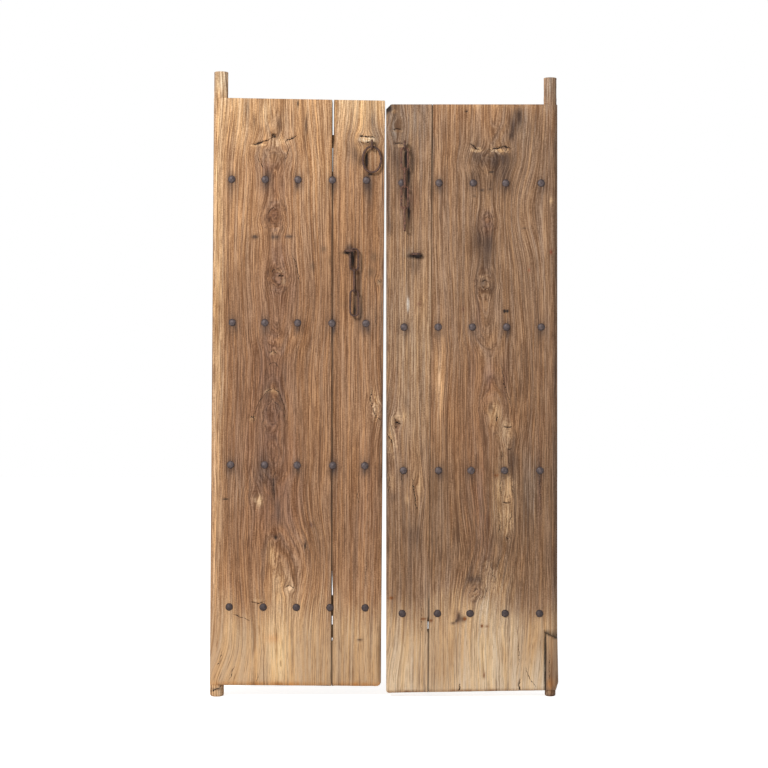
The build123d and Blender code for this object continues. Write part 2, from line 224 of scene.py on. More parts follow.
def nearest_crack(cracks, reach, up, wild=1):
    """Signed distance to the nearest crack's line, its half width and its depth there.

    A crack narrows to nothing at its ends, by a cubic in the share of its length, and its line wanders."""
    search, beside, overrun = 30, 6, 0.1
    layers = (2.4, 9, 9), (1.2, 3.5, 3.5)
    reach, up = reach + wild * waves(up, reach, 71, *layers), up + wild * waves(reach, up, 73, *layers)
    offset = np.full(reach.shape, no_crack)
    width, depth = np.zeros(reach.shape), np.zeros(reach.shape)
    for line, half_width, deep in cracks:
        line = np.array(line, float)
        steps = np.diff(line, axis=0)
        lengths = np.hypot(*steps.T)
        before = np.cumsum(lengths) - lengths
        for start, step, length, done in zip(line[:-1], steps, lengths, before):
            aside, above = reach - start[0], up - start[1]
            along = (aside * step[0] + above * step[1]) / length**2
            side = (aside * step[1] - above * step[0]) / length
            share = (done + np.clip(along, 0, 1) * length) / lengths.sum()
            within = (along > -overrun) & (along < 1 + overrun)
            local = half_width * (1 - np.abs(2 * share - 1) ** 3) * within
            closer = (local > 0) & (np.abs(side) - local < np.abs(offset) - width) & (np.abs(side) < search)
            offset = np.where(closer, side, offset)
            width = np.where(closer, local, width)
            depth = np.where(closer, deep * local / half_width, depth)
    return offset, np.where(np.abs(offset) < width + beside, width, 0), depth


def spaced(length, pitch, fine_pitch, bands):
    """Places from 0 to a length, a pitch apart, and closer in bands: equal steps of the summed density."""
    at = np.linspace(0, length, 4000)
    density = np.full(at.shape, 1 / pitch)
    for middle, reach in bands:
        density += (1 / fine_pitch - 1 / pitch) * np.exp(-(((at - middle) / reach) ** 4))
    steps = np.concatenate([[0], np.cumsum((density[1:] + density[:-1]) / 2 * np.diff(at))])
    return np.interp(np.linspace(0, steps[-1], int(steps[-1]) + 1), steps, at)


def skin(name, *grids, ring=False):
    """Closed surfaces on grids of points: rows along the piece, columns round its section.

    Each grid has a flat face at both ends, or is joined end to end where it is a ring. The faces are turned
    over where the volume that they enclose comes out negative."""
    crease = radians(48)
    faces = []
    first = 0
    for grid in grids:
        rows, columns = grid.shape[:2]
        index = np.arange(rows * columns).reshape(rows, columns)
        before, after = (index, np.roll(index, -1, axis=0)) if ring else (index[:-1], index[1:])
        corners = before, np.roll(before, -1, 1), np.roll(after, -1, 1), after
        quads = np.stack(corners, axis=-1).reshape(-1, 4)
        flat = grid.reshape(-1, 3) - grid.mean((0, 1))
        a, b, c, d = (flat[quads[:, corner]] for corner in range(4))
        volume = (a * np.cross(b, c)).sum() + (a * np.cross(c, d)).sum()
        turn = -1 if volume < 0 else 1
        ends = [] if ring else [index[0, ::-1], index[-1]]
        faces += (quads[:, ::turn] + first).tolist() + [(end[::turn] + first).tolist() for end in ends]
        first += rows * columns
    mesh = bpy.data.meshes.new(name)
    mesh.from_pydata(np.concatenate([grid.reshape(-1, 3) for grid in grids]).tolist(), [], faces)
    mesh.polygons.foreach_set("use_smooth", np.ones(len(faces), bool))
    mesh.set_sharp_from_angle(angle=crease)
    piece = bpy.data.objects.new(name, mesh)
    bpy.context.collection.objects.link(piece)
    return piece


def keep(mesh, grain, colour, marks):
    """Store each point's place in the grain, its tint and its marks, for the wood's material to read."""
    solid = np.concatenate([colour, np.ones(colour.shape[:2] + (1,))], axis=-1)
    for name, kind, key, values in (
        ("grain", "FLOAT_VECTOR", "vector", grain),
        ("tint", "FLOAT_COLOR", "color", solid),
        ("marks", "FLOAT_VECTOR", "vector", marks),
    ):
        attribute = mesh.attributes.new(name, kind, "POINT")
        attribute.data.foreach_set(key, np.asarray(values, np.float32).ravel())


def section(board):
    """Loop round a board: front, free edge, back, then the hanging edge as a half circle or the joint edge.

    Each point has a share of the width, an offset past the side line, a place through the thickness and an
    angle on a pintle. Corners are quarter circles of the edge's arris. Returns the front's shares first."""
    back_columns, edge_columns, round_columns, front_turn, edge_turn = 24, 13, 27, 0.9, 0.1
    front = np.linspace(0, 1, int((board.side_b(0) - board.side_a(0)) / board.column_pitch))
    back = np.linspace(1, 0, back_columns)
    edge = radians(90) - np.linspace(0, np.pi, edge_columns)[1:-1]

    def corners(size):
        return np.sign(np.round(np.sin(edge), 9)) * (half_thickness - size) + size * np.sin(edge)

    if board.round_edge:
        turn = radians(-90) + np.linspace(0, np.pi, round_columns)[1:-1]
        free_arris = joint_arris
        last = -half_thickness * np.cos(turn), half_thickness * np.sin(turn), -radians(180) - turn
    else:
        free_arris = arris
        last = -joint_arris * np.cos(edge), corners(joint_arris)[::-1], edge - radians(180)
    sides = (
        (front, 0 * front, 0 * front + half_thickness, radians(90) * (1 - front * front_turn)),
        (0 * edge + 1, free_arris * np.cos(edge), corners(free_arris), edge * edge_turn),
        (back, 0 * back, 0 * back - half_thickness, -radians(90) * (1 - back * front_turn)),
        (0 * last[0], *last),
    )
    return front, *(np.concatenate(column) for column in zip(*sides))


def carve(board, reach, up, rings, from_edge, crack):
    """Relief of the front: planed waves and ring ridges, less nibbled edges, worn foot, cracks and tears.

    Returns the relief and the share of bare torn fibre."""
    nibbled_depth, nibbled_reach, foot_wear, foot_reach, crack_lip, most = 3, 4, 3.2, 6, 0.8, 0.4
    offset, width, depth = crack
    nibbled = nibbled_depth * np.clip(ripple(up / 34, reach / 40 + 9, board.seed + 4) - 0.15, 0, 1)
    above_foot = up - board.bottom[0] - board.bottom[1] * reach
    worn_foot = foot_wear + waves(reach, 0 * up, board.seed + 15, (1.6, 28, 1))
    planed = waves(reach, up, board.seed + 5, (0.5, 60, 200))
    ridges = waves(rings, up, board.seed + 6, (0.35, 5, 300))
    relief = planed + ridges - nibbled * np.exp(-np.abs(from_edge) / nibbled_reach)
    relief = relief - worn_foot * bell(above_foot / foot_reach) - depth * bell(offset / (width + crack_lip))
    ragged = waves(reach, up, board.seed + 7, (0.5, 4, 4), (0.3, 9, 9))
    uneven = 0.7 + waves(reach, up, board.seed + 9, (0.6, 3.5, 5))
    torn = np.zeros(reach.shape)
    for middle, spread, deep, pale_share in board.torn:
        patch = np.clip((1 - np.hypot(*off_middle(reach, up, middle, spread)) - ragged) * 2, 0, 1)
        relief = relief - deep * patch * uneven
        torn = np.maximum(torn, patch * pale_share)
    return np.minimum(relief, most), torn


def pintle(board, angle, end, radius, length):
    """Circles from the shoulder to the rounded end, with the same stored values as the board's own rows."""
    rounding = 2 if end == "head" else 7
    straight_rows, shoulder, least_out = 12, 2, 8
    turn = np.linspace(0, radians(80), 5)[1:]
    straight = np.linspace(shoulder, length - rounding, straight_rows)
    steps = np.concatenate([[0], straight, length - rounding + rounding * np.sin(turn)])
    radii = np.concatenate([np.full(straight_rows + 1, radius), radius - rounding * (1 - np.cos(turn))])
    radii = (radii + waves(steps, steps * 0, board.seed + 10, (0.4, 9, 1)))[:, None]
    base, way = (board.top[0], 1) if end == "head" else (board.bottom[0], -1)
    reach, out = radii * np.cos(angle), radii * np.sin(angle)
    up = (base + way * steps)[:, None] + 0 * reach
    offset, width, _ = nearest_crack(board.cracks, reach, up)
    fields = [
        np.stack([reach, up, out], axis=-1),
        np.stack([*ring_distance(board, reach, up, out), up], axis=-1),
        tint(board, reach, up, np.maximum(out, least_out)),
        np.stack([offset, width * (out > 0), 0 * reach], axis=-1),
    ]
    return fields if end == "head" else [field[::-1] for field in fields]


def plank(board):
    """A section loop carried up the board between its two side lines, and on as a circle for each pintle."""
    fine_pitch = 1.5
    height = board.top[0] - board.bottom[0]
    bands = [(middle - board.bottom[0], reach) for middle, reach in board.fine]
    rows = spaced(height, board.row_pitch, fine_pitch, bands)
    rows = np.concatenate([[0, 0.5], rows[1:-1], [height - 0.5, height]])
    from_end = np.minimum(rows, height - rows)[:, None]
    inset = np.interp(from_end, [0, 0.5, 2], [1.6, 0.5, 0])
    front, share, past, out, angle = section(board)

    # Side lines, sloping ends, and what the board's own form changes
    level = (board.bottom[0] + rows)[:, None]
    side_a = board.side_a(level) + (0 if board.round_edge else joint_arris)
    side_b = board.side_b(level) - (joint_arris if board.round_edge else arris)
    reach = side_a + share * (side_b - side_a) + past
    reach = reach - inset * (2 * share - 1) * (1 - 0.9 * (board.round_edge & (share == 0)))
    bottom = board.bottom[0] + board.bottom[1] * reach
    top = board.top[0] + board.top[1] * reach
    up = bottom + rows[:, None] / height * (top - bottom)
    out = np.broadcast_to(out, reach.shape) * (1 - inset / half_thickness)
    reach, up, out, side_a, side_b = board.reshape(rows, [reach, up, out, side_a, side_b])

    # The carved front
    on_front = np.zeros(len(share))
    on_front[: len(front)] = np.clip(np.minimum(front, 1 - front) * len(front) / 2, 0, 1)
    from_edge = np.minimum(np.inf if board.round_edge else reach - side_a, side_b - reach)
    rings, across = ring_distance(board, reach, up, out)
    crack = nearest_crack(board.cracks, reach, up)
    relief, torn = carve(board, reach, up, rings, from_edge, crack)
    out = out + relief * on_front

    # Dirt and painted gap shade along the joint, dirt in the seams beside the repair block, then the board's
    # colours and bare fibre
    joint_spread, seam_dirt, seam_reach, seam_top = 1.1, 0.88, 22, 206
    washed_heights, washed_shares = [150, 350], [0.78, 0.0]
    from_joint = side_b - reach if board.round_edge else reach - side_a
    dirt_and_shade = np.interp(up, *np.array(board.joint_dirt).T) * bell(from_joint / joint_spread)
    seam, seam_width, _ = nearest_crack(board.seams, reach, up, 0.3)
    beside_block = (reach < seam_reach) & (up < seam_top)
    in_seam = np.exp(-((seam / np.maximum(seam_width, 0.1)) ** 4)) * beside_block
    dirt_and_shade = np.maximum(dirt_and_shade, seam_dirt * in_seam)
    colour = tint(board, reach, up, out) * (1 - dirt_and_shade)[..., None]
    colour = laid_over(colour, linear(board.torn_tone), torn * on_front)
    washed = np.interp(up, washed_heights, washed_shares)
    own = [
        np.stack([reach, up, out], axis=-1),
        np.stack([rings, across, up], axis=-1),
        colour,
        np.stack([crack[0], crack[1] * on_front, washed], axis=-1),
    ]

    # Foot pintle, board and head pintle in one skin, with the doubled points at the shoulders fused
    ends = {"foot": [], "head": []}
    for end, radius, length in board.pintles:
        ends[end].append(pintle(board, angle, end, radius, length))
    places, *stored = (np.concatenate(fields) for fields in zip(*ends["foot"], own, *ends["head"]))
    piece = skin(board.name, to_frame(board.side, *np.moveaxis(places, -1, 0)))
    keep(piece.data, *stored)
    fused = bmesh.new()
    fused.from_mesh(piece.data)
    bmesh.ops.remove_doubles(fused, verts=fused.verts, dist=1e-6)
    fused.to_mesh(piece.data)
    fused.free()
    return piece


def add(tree, kind, inputs=None, **settings):
    """Add a shader node, set its properties, and give each input its value or the socket that feeds it."""
    node = tree.nodes.new("ShaderNode" + kind)
    for key, value in settings.items():
        setattr(node, key, value)
    for key, value in (inputs or {}).items():
        if isinstance(value, bpy.types.NodeSocket):
            tree.links.new(value, node.inputs[key])
        else:
            node.inputs[key].default_value = value
    return node


def maths(tree, operation, *inputs):
    """Result of a sum on values or sockets."""
    return add(tree, "Math", dict(enumerate(inputs)), operation=operation).outputs[0]


def times(tree, vector, factors):
    """Vector or colour times another, part by part."""
    return add(tree, "VectorMath", {0: vector, 1: factors}, operation="MULTIPLY").outputs[0]


def ramp(tree, source, low, high, first=0, last=1):
    """The range of a source from low to high carried over to another range, and held at its ends."""
    return add(tree, "MapRange", {0: source, 1: low, 2: high, 3: first, 4: last}).outputs[0]


def mix(tree, share, first, second):
    """Colour between two colours."""
    return add(tree, "Mix", {0: share, 6: first, 7: second}, data_type="RGBA").outputs[2]


def noise(tree, place, scale, detail, roughness=0.5):
    """Cloudy values round a half."""
    inputs = {"Vector": place, "Scale": scale, "Detail": detail, "Roughness": roughness}
    return add(tree, "TexNoise", inputs).outputs[0]


def new_material(name):
    """Empty node material."""
    material = bpy.data.materials.new(name)
    material.use_nodes = True
    material.node_tree.nodes.clear()
    return material, material.node_tree


def surface(tree, colour, height, strength, distance, finish):
    """Principled surface with its bumps, led to the output."""
    bump = add(tree, "Bump", {"Strength": strength, "Distance": distance, "Height": height}).outputs[0]
    shader = add(tree, "BsdfPrincipled", {"Base Color": colour, "Normal": bump, **finish}).outputs[0]
    add(tree, "OutputMaterial", {"Surface": shader})


# Old elm left to the weather for generations: soft early wood worn back from the harder late wood, so the
# rings show as brown streaks along the grain, with dirt in every crack and pale fibre where it is torn.
def weathered_elm(name, roughness):
    """Streaks of five sizes on the stored distance from the pith, most of them drawn out along the board."""
    material, tree = new_material(name)
    grain = add(tree, "Attribute", attribute_name="grain").outputs["Vector"]
    tone = add(tree, "Attribute", attribute_name="tint").outputs["Color"]
    marks = add(tree, "Attribute", attribute_name="marks").outputs["Vector"]
    crack_offset, crack_half, washed = add(tree, "SeparateXYZ", {0: marks}).outputs

    def grain_noise(ring_width, fibre_width, fibre_length, detail, rough=0.5):
        """Noise of these sizes in mm: across the rings, across the fibres and along the board."""
        place = times(tree, grain, (1 / ring_width, 1 / fibre_width, 1 / fibre_length))
        return noise(tree, place, 1, detail, rough)

    # Hue drifts between grey and foxy brown from streak to streak
    drift = ramp(tree, grain_noise(8, 40, 260, 2), 0.35, 0.65)
    tone = times(tree, tone, mix(tree, drift, (0.98, 1.0, 1.06, 1), (1.06, 0.97, 0.84, 1)))
    streaks = 0
    for *sizes, detail, weight in (
        (20, 300, 2200, 2, 0.14), (5, 200, 1800, 1, 0.28), (9, 2.5, 420, 1, 0.95), (9, 2, 60, 1, 0.80),
        (30, 5, 2.4, 1, 0.45),
    ):
        centred = maths(tree, "SUBTRACT", grain_noise(*sizes, detail, 0.55), 0.5)
        streaks = maths(tree, "MULTIPLY_ADD", centred, weight, streaks)
    late_wood = add(tree, "Mix", {0: washed, 2: ramp(tree, streaks, -0.20, 0.20), 3: 0.5}).outputs[0]
    wood = mix(tree, late_wood, times(tree, tone, (0.50, 0.42, 0.35)), times(tree, tone, (1.46, 1.54, 1.60)))

    # Open pores, short dark dashes along the grain
    pores = ramp(tree, grain_noise(3, 2.2, 45, 1), 0.60, 0.72, 0, 0.75)
    pore_tone = times(tree, tone, (0.34, 0.27, 0.22))
    wood = mix(tree, pores, wood, pore_tone)

    # A thin dark line along each ring, where a noise drawn far out along the board crosses its middle
    line_off = maths(tree, "ABSOLUTE", maths(tree, "SUBTRACT", grain_noise(7, 160, 1800, 1), 0.5))
    worn = ramp(tree, grain_noise(22, 30, 120, 5, 0.65), 0.38, 0.60)
    ring_line = maths(tree, "MULTIPLY", ramp(tree, line_off, 0.015, 0.065, 0.7, 0), worn)
    wood = mix(tree, ring_line, wood, pore_tone)

    # Dirt fills each crack, to a ragged edge
    ragged = ramp(tree, grain_noise(4, 4, 4, 2), 0.38, 0.62, 0.1, 1.15)
    ragged_half = maths(tree, "MULTIPLY", crack_half, ragged)
    inside = maths(tree, "SUBTRACT", ragged_half, maths(tree, "ABSOLUTE", crack_offset))
    open_here = maths(tree, "GREATER_THAN", crack_half, 0.15)
    dirt = maths(tree, "MULTIPLY", ramp(tree, inside, -0.5, 0.6), open_here)
    wood = mix(tree, dirt, wood, (*linear("#1F1510"), 1))

    # Late wood stands up, and ring lines and cracks sink in
    furrows = maths(tree, "MULTIPLY_ADD", ring_line, -0.7, late_wood)
    height = maths(tree, "MULTIPLY_ADD", dirt, -1.2, furrows)
    finish = {"Roughness": roughness, "Specular IOR Level": 0.3}
    surface(tree, wood, height, strength=0.6, distance=0.001, finish=finish)
    return material


old_elm = weathered_elm("old_weathered_elm", 0.82)


def dress(piece, node, body, material):
    """Finish one piece: its material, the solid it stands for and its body."""
    piece.data.materials.append(material)
    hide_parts(node)
    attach(piece, body)


def nail_halos(side, aside, tall, low=-np.inf, high=np.inf):
    """Dark stains a little below the nails of the three upper rows, for those within a span of reach."""
    drop, wide, strength = 8, 16, 0.85
    places = [place for row in (1, 2, 3) for place in nail_places(side, row)]
    return [(reach + aside, up - drop, wide, tall, strength) for reach, up in places if low < reach < high]


def joint_line(low, high, foot, top):
    """Straight edge that slants from one reach at the foot to another at the top."""
    return lambda up: low + (high - low) * (up - foot) / (top - foot)


def board_values(**own):
    """Values of one board, over those that most boards share. All places are reach and height.

    A stain is its middle, half width, half height and strength, under its tone. A crack is its line, half
    width and depth. A torn patch is its middle, spread, depth and share of pale fibre. A knot is its middle,
    spread and the rise that closes rings round it, and a sweep is its middle, spread and sideways shift."""
    shared = dict(
        row_pitch=4.4, column_pitch=2.4, side_a=lambda up: 0 * up, pintles=(), sweeps=(), knots=(), seams=(),
        torn=(), fine=(), torn_tone=torn_fibre, joint_dirt=((0, 0.8), (left_top, 0.8)),
        reshape=lambda rows, fields: fields,
    )
    return SimpleNamespace(**{**shared, **own})


left_joint = joint_line(low=351, high=341, foot=left_foot, top=left_top)
left_pivot_board = board_values(
    name="left_pivot_plank",
    side="left",
    seed=11,
    round_edge=True,
    side_b=left_joint,
    bottom=(left_foot, 0),
    top=(left_top, left_top_slope),
    pintles=(("foot", 21.5, 36), ("head", 21.5, 81)),
    heart_line=(
        (36, 200), (250, 190), (480, 176), (750, 165), (950, 169), (1280, 176), (1470, 166), (1690, 164),
        (1828, 160),
    ),
    pith_depth=(
        (36, 6), (180, 8), (330, 14), (430, 30), (540, 52), (640, 46), (730, 16), (850, 26), (950, 42),
        (1040, 46), (1130, 18), (1200, 6), (1280, 10), (1380, 4), (1480, 9), (1580, 5), (1690, 32),
        (1760, 14), (1828, 5),
    ),
    sweeps=(
        ((-10, 20), (90, 110), 46), ((60, 1828), (70, 140), -22), ((265, 1828), (60, 140), 18),
        ((275, 420), (62, 130), -30), ((80, 520), (50, 170), 16), ((90, 1330), (50, 150), 14),
        ((270, 1240), (50, 160), -14),
    ),
    knots=(
        ((166, 1468), (26, 34), 16), ((178, 1277), (24, 34), 20), ((222, 337), (12, 14), 3),
        ((116, 606), (14, 26), 6), ((178, 487), (8, 14), 6), ((162, 1660), (36, 30), -9),
        ((170, 1056), (14, 30), 8), ((164, 850), (20, 46), 13),
    ),
    tones=(
        (36, straw), (170, straw), (300, tan), (430, nut), (1250, nut), (1450, tan), (1680, tan),
        (1800, honey),
    ),
    stains={
        # The first pale and the first honey stain, along the rounded hanging edge, are painted highlight on
        # its lit side.
        pale: [
            (-14, 1300, 22, 700, 1.0), (50, 1790, 60, 110, 0.6), (140, 1795, 16, 46, 0.7),
            (199, 150, 50, 150, 1.0), (190, 330, 22, 70, 0.6), (162, 440, 12, 34, 0.6),
            (120, 110, 80, 90, 0.5), (60, 60, 50, 50, 0.4),
        ],
        honey: [
            (-12, 500, 18, 500, 0.9), (300, 1690, 56, 190, 0.75), (235, 1770, 60, 50, 0.5),
            (60, 1560, 50, 220, 0.35),
        ],
        drab: [
            (186, 1755, 32, 40, 0.75), (160, 1655, 40, 26, 0.95), (60, 640, 40, 70, 0.4),
            (310, 480, 40, 120, 0.3),
        ],
        soot_and_shade: [
            (178, 1742, 6, 26, 0.4), (80, 1796, 7, 28, 0.75), (102, 1752, 8, 28, 0.75),
            (262, 1745, 5, 46, 0.75), (36, 1540, 8, 44, 0.55), (150, 1590, 12, 20, 0.5),
            (150, 930, 8, 30, 0.6), (184, 900, 8, 40, 0.5), (200, 980, 8, 80, 0.35),
            (140, 690, 18, 44, 0.9), (170, 640, 8, 50, 0.6), (186, 560, 7, 50, 0.5), (108, 1404, 9, 5, 1.5),
            (169, 1404, 11, 8, 1.4), (212, 1406, 10, 5, 1.4), (0, 24, 26, 4, 0.5),
            *nail_halos("left", 2, 28),
        ],
        brown: [
            (150, 1622, 46, 30, 0.7), (160, 1560, 46, 60, 0.5), (166, 1468, 30, 38, 0.75),
            (176, 1350, 30, 50, 0.6), (196, 1240, 46, 90, 0.4), (163, 900, 50, 330, 0.75),
            (190, 560, 70, 150, 0.5), (90, 760, 60, 300, 0.35), (230, 700, 30, 150, 0.35),
        ],
        heart: [
            (178, 1284, 22, 30, 0.8), (160, 1010, 40, 80, 0.75), (165, 880, 34, 70, 0.7),
            (152, 700, 34, 100, 0.9), (176, 590, 24, 100, 0.75), (285, 527, 5, 7, 1.5),
        ],
        straw: [(126, 600, 10, 16, 1.0), (290, 150, 60, 120, 0.6)],
        tan: [(290, 900, 50, 300, 0.35)],
        cream: [(192, 120, 32, 100, 0.8)],
        amber: [(172, 180, 20, 14, 0.7)],
        copper: [(170, 40, 190, 8, 0.9)],
        umber: [(286, 1316, 8, 14, 1.3), (318, 1369, 9, 9, 1.2), (338, 1332, 8, 20, 0.6)],
        black: [
            (24, 604, 8, 2.5, 1.5), (178, 488, 4, 7, 1.6), (268, 463, 3, 11, 1.5),
            (236, 1812, 2.5, 10, 1.6),
        ],
        bleached: [(0, 1880, 40, 60, 0.9)],
    },
    cracks=(
        (((96, 1685), (128, 1694), (158, 1706)), 2.8, 5), (((198, 1694), (214, 1704), (233, 1714)), 2.2, 4),
        (((157, 1704), (164, 1716), (170, 1705)), 4.5, 8),
        (((113, 1652), (124, 1628), (141, 1607)), 1.3, 2),
        (((216, 1686), (206, 1660), (196, 1640)), 1.2, 1),
        (((180, 1287), (189, 1288), (198, 1285)), 3.0, 6),
        (((219, 1358), (237, 1316), (248, 1259)), 1.3, 1.5), (((205, 336), (220, 341), (236, 332)), 1.7, 4),
        (((104, 289), (125, 287), (146, 293)), 1.6, 4), (((46, 253), (80, 243), (104, 232)), 1.1, 1),
        (((18, 145), (10, 110), (-8, 84)), 0.9, 1), (((56, 96), (44, 62), (34, 38)), 1.0, 1),
        (((127, 76), (124, 36)), 0.9, 1), (((150, 1052), (168, 1056), (182, 1046)), 1.5, 2),
        (((178, 700), (168, 650), (176, 600)), 1.2, 1),
        (((146, 1470), (152, 1486), (166, 1494), (180, 1484)), 1.2, 1),
        (((103, 843), (122, 896), (146, 932), (168, 945), (186, 930), (200, 888), (203, 834)), 1.1, 1.5),
        (((138, 852), (150, 890), (168, 912), (184, 884), (188, 850)), 0.9, 1.2),
        (((96, 852), (103, 858), (111, 848), (104, 838)), 1.6, 1.5),
        (((150, 1010), (168, 1024), (186, 1008)), 1.2, 1), (((-24, 14), (-4, 22), (22, 37)), 2.4, 2),
        (((160, 1262), (176, 1254), (192, 1266)), 1.4, 2),
        (((158, 1290), (166, 1306), (184, 1308)), 1.3, 2),
    ),
    torn=(
        ((180, 1696), (30, 15), 2.6, 0.6), ((221, 334), (20, 12), 2, 0.5), ((126, 294), (22, 8), 2, 0.5),
        ((170, 430), (14, 30), 0.8, 0.3), ((169, 1052), (15, 6), 1.6, 0.35),
        ((168, 934), (26, 9), 1.0, 0.3), ((104, 848), (12, 10), 1.0, 0.25), ((116, 606), (12, 9), 1.4, 0.3),
        ((182, 1300), (16, 6), 1.4, 0.3), ((120, 1684), (24, 6), 1.2, 0.7),
        ((196, 1270), (6, 12), 1.2, 0.3), ((240, 1800), (6, 5), 1.4, 0.5),
    ),
    fine=((1700, 40), (1280, 22), (335, 18), (290, 16), (42, 14)),
)
dress(plank(left_pivot_board), "left_pivot_board", "left_leaf", old_elm)

# Left meeting board
# A narrow elm plank of the same tree, shrunk away from the wide one so that daylight shows in the joint.
# It carries the pull ring and the hasp, and its meeting edge is rubbed, torn and worn round at the foot.
grey, chalk = "#8C7B6C", "#EADBC2"


def open_joint(line, foot, top, gap, shares):
    """Joint edge of a narrow board: the slanting joint line plus a share of the widest gap at each height."""
    places, gaps = np.array(shares).T
    return lambda up: line(up) + gap * np.interp((up - foot) / (top - foot), places, gaps)


def worn_edge(foot, top, round_foot, broken_top):
    """Meeting edge: straight, with a quarter circle taken off at the foot and a slanting break at the top."""

    def edge_at(up):
        low = np.clip(round_foot - (up - foot), 0, round_foot)
        round_off = round_foot - np.sqrt(round_foot**2 - low**2)
        return leaf_reach - round_off - np.clip(broken_top - (top - up), 0, broken_top)

    return edge_at


left_gap_shares = (
    (0, 0.1), (0.075, 0.1), (0.08, 0.6), (0.16, 0.75), (0.19, 0.3), (0.21, 0.1), (0.8, 0.1), (0.86, 0.25),
    (0.915, 0.42), (0.93, 0.95), (1, 1),
)
left_meeting_board = board_values(
    name="left_meeting_plank",
    side="left",
    seed=31,
    round_edge=False,
    side_a=open_joint(left_joint, left_foot, left_top, gap=4.8, shares=left_gap_shares),
    side_b=worn_edge(left_foot, left_top, round_foot=15, broken_top=0),
    bottom=(left_foot, 0),
    top=(left_top, left_top_slope),
    heart_line=((36, 548), (900, 556), (1828, 545)),
    pith_depth=((36, 30), (900, 36), (1828, 30)),
    sweeps=(((410, 1828), (60, 110), -16), ((490, 1828), (40, 110), 16), ((480, 880), (40, 90), -14)),
    knots=(((447, 1706), (26, 14), 3), ((480, 880), (14, 30), 8), ((489, 1269), (10, 14), 6)),
    tones=(
        (36, straw), (170, straw), (320, tan), (460, nut), (1350, nut), (1600, tan), (1720, honey),
        (1815, pale),
    ),
    stains={
        pale: [(428, 1800, 80, 90, 0.8)],
        grey: [(462, 1756, 13, 36, 0.75), (480, 1720, 20, 30, 0.5)],
        # The soot at reach 394 to 432 around the hasp's staple and links is painted shadow; the rest is dirt.
        soot_and_shade: [
            (412, 1662, 17, 34, 0.85), (446, 1690, 26, 7, 0.6), (430, 1642, 9, 22, 0.6),
            (446, 1566, 13, 30, 0.8), (456, 1530, 10, 40, 0.5), (394, 1372, 13, 12, 0.8),
            (426, 1326, 8, 40, 0.7), (418, 1240, 9, 52, 0.8), (432, 1170, 10, 40, 0.6),
            (489, 1269, 7, 8, 1.5), (499, 900, 6, 700, 0.5), (499, 120, 7, 110, 0.6), (437, 177, 8, 3, 1.4),
            *nail_halos("left", 2, 28, low=328),
        ],
        drab: [(400, 1700, 16, 60, 0.4), (470, 1180, 24, 40, 0.35)],
        tan: [(390, 1540, 30, 160, 0.6), (430, 1240, 60, 300, 0.35), (430, 880, 50, 260, 0.5)],
        # Painted shadows: the black marks under the hasp's staple, inside its first and third links, and
        # along the inner left of the pull ring.
        black: [
            (405, 1336, 5.5, 28, 3.0), (392, 1358, 16, 4, 2.0), (414, 1180, 4.5, 24, 1.2),
            (447, 1641, 4.5, 22, 2.0), (458, 1598, 6, 3, 1.5),
        ],
        umber: [(474, 1345, 12, 16, 1.1), (462, 1300, 10, 16, 1.0), (380, 1200, 14, 16, 0.6)],
        brown: [(450, 620, 40, 160, 0.3)],
        straw: [(400, 140, 60, 110, 0.5)],
        copper: [(430, 40, 90, 8, 0.9)],
        chalk: [(447, 1704, 17, 6, 1.6)],
    },
    cracks=(
        (((418, 1716), (440, 1712), (462, 1713), (474, 1706)), 2.0, 3),
        (((424, 1697), (446, 1694), (468, 1699)), 2.0, 3),
        (((468, 950), (464, 912), (472, 880), (486, 850)), 1.6, 3), (((484, 1276), (494, 1268)), 1.6, 3),
        (((430, 700), (427, 620), (430, 560)), 0.8, 1), (((455, 420), (452, 330)), 0.8, 1),
        (((404, 1250), (402, 1190)), 0.8, 1), (((478, 1180), (480, 1130)), 0.8, 1),
        (((487, 856), (499, 846)), 1.6, 3),
    ),
    torn=(
        ((447, 1705), (19, 7), 1.0, 0.9), ((480, 886), (14, 46), 2.4, 0.6), ((492, 1268), (8, 10), 2, 0.2),
        ((468, 925), (8, 24), 1.4, 0.3),
    ),
    fine=((1706, 22), (880, 34), (44, 18)),
)
dress(plank(left_meeting_board), "left_meeting_board", "left_leaf", old_elm)

# Right pivot board
# The other wide elm plank, sawn next to the first from the same trunk, so its knots and flames answer them.
# Its lower corner was cut away for a repair block, and the weather has greyed it more.
right_foot = 20
right_top = 1808
right_foot_slope = -8 / leaf_reach
block_reach = 17
block_head = 197
block_slope = 18 / (block_reach + half_thickness)
block_clearance = 0.2
notch_reach = block_reach + block_clearance
ashen, rust, ivory, russet = "#AF9883", "#7E4C26", "#E2C9A4", "#8E6646"
brick, fox, dry_fibre = "#8A4A34", "#8A5A38", "#CBA882"


def block_top(reach):
    """Height of the repair block's slanting top at a reach from the pivot axis."""
    return block_head - block_slope * (block_reach - reach)


def cut_notch(rows, fields):
    """Take the hanging edge off below the block's slanting top, with one more row as the notch's ceiling."""
    reach, up, *others = fields
    corner = block_top(notch_reach) + block_clearance
    first = np.searchsorted(rows, corner - right_foot) + 1
    inside = reach[first] < notch_reach
    ceiling = block_top(np.minimum(reach[first], notch_reach)) + block_clearance
    up[first] = np.where(inside, ceiling, up[first])
    shelf = np.where(inside, corner, up[first])
    reach = np.concatenate([np.maximum(reach[: first + 1], notch_reach), reach[first:]])
    up = np.concatenate([np.minimum(up[:first], corner), shelf[None], up[first:]])
    return [reach, up] + [np.concatenate([field[: first + 1], field[first:]]) for field in others]


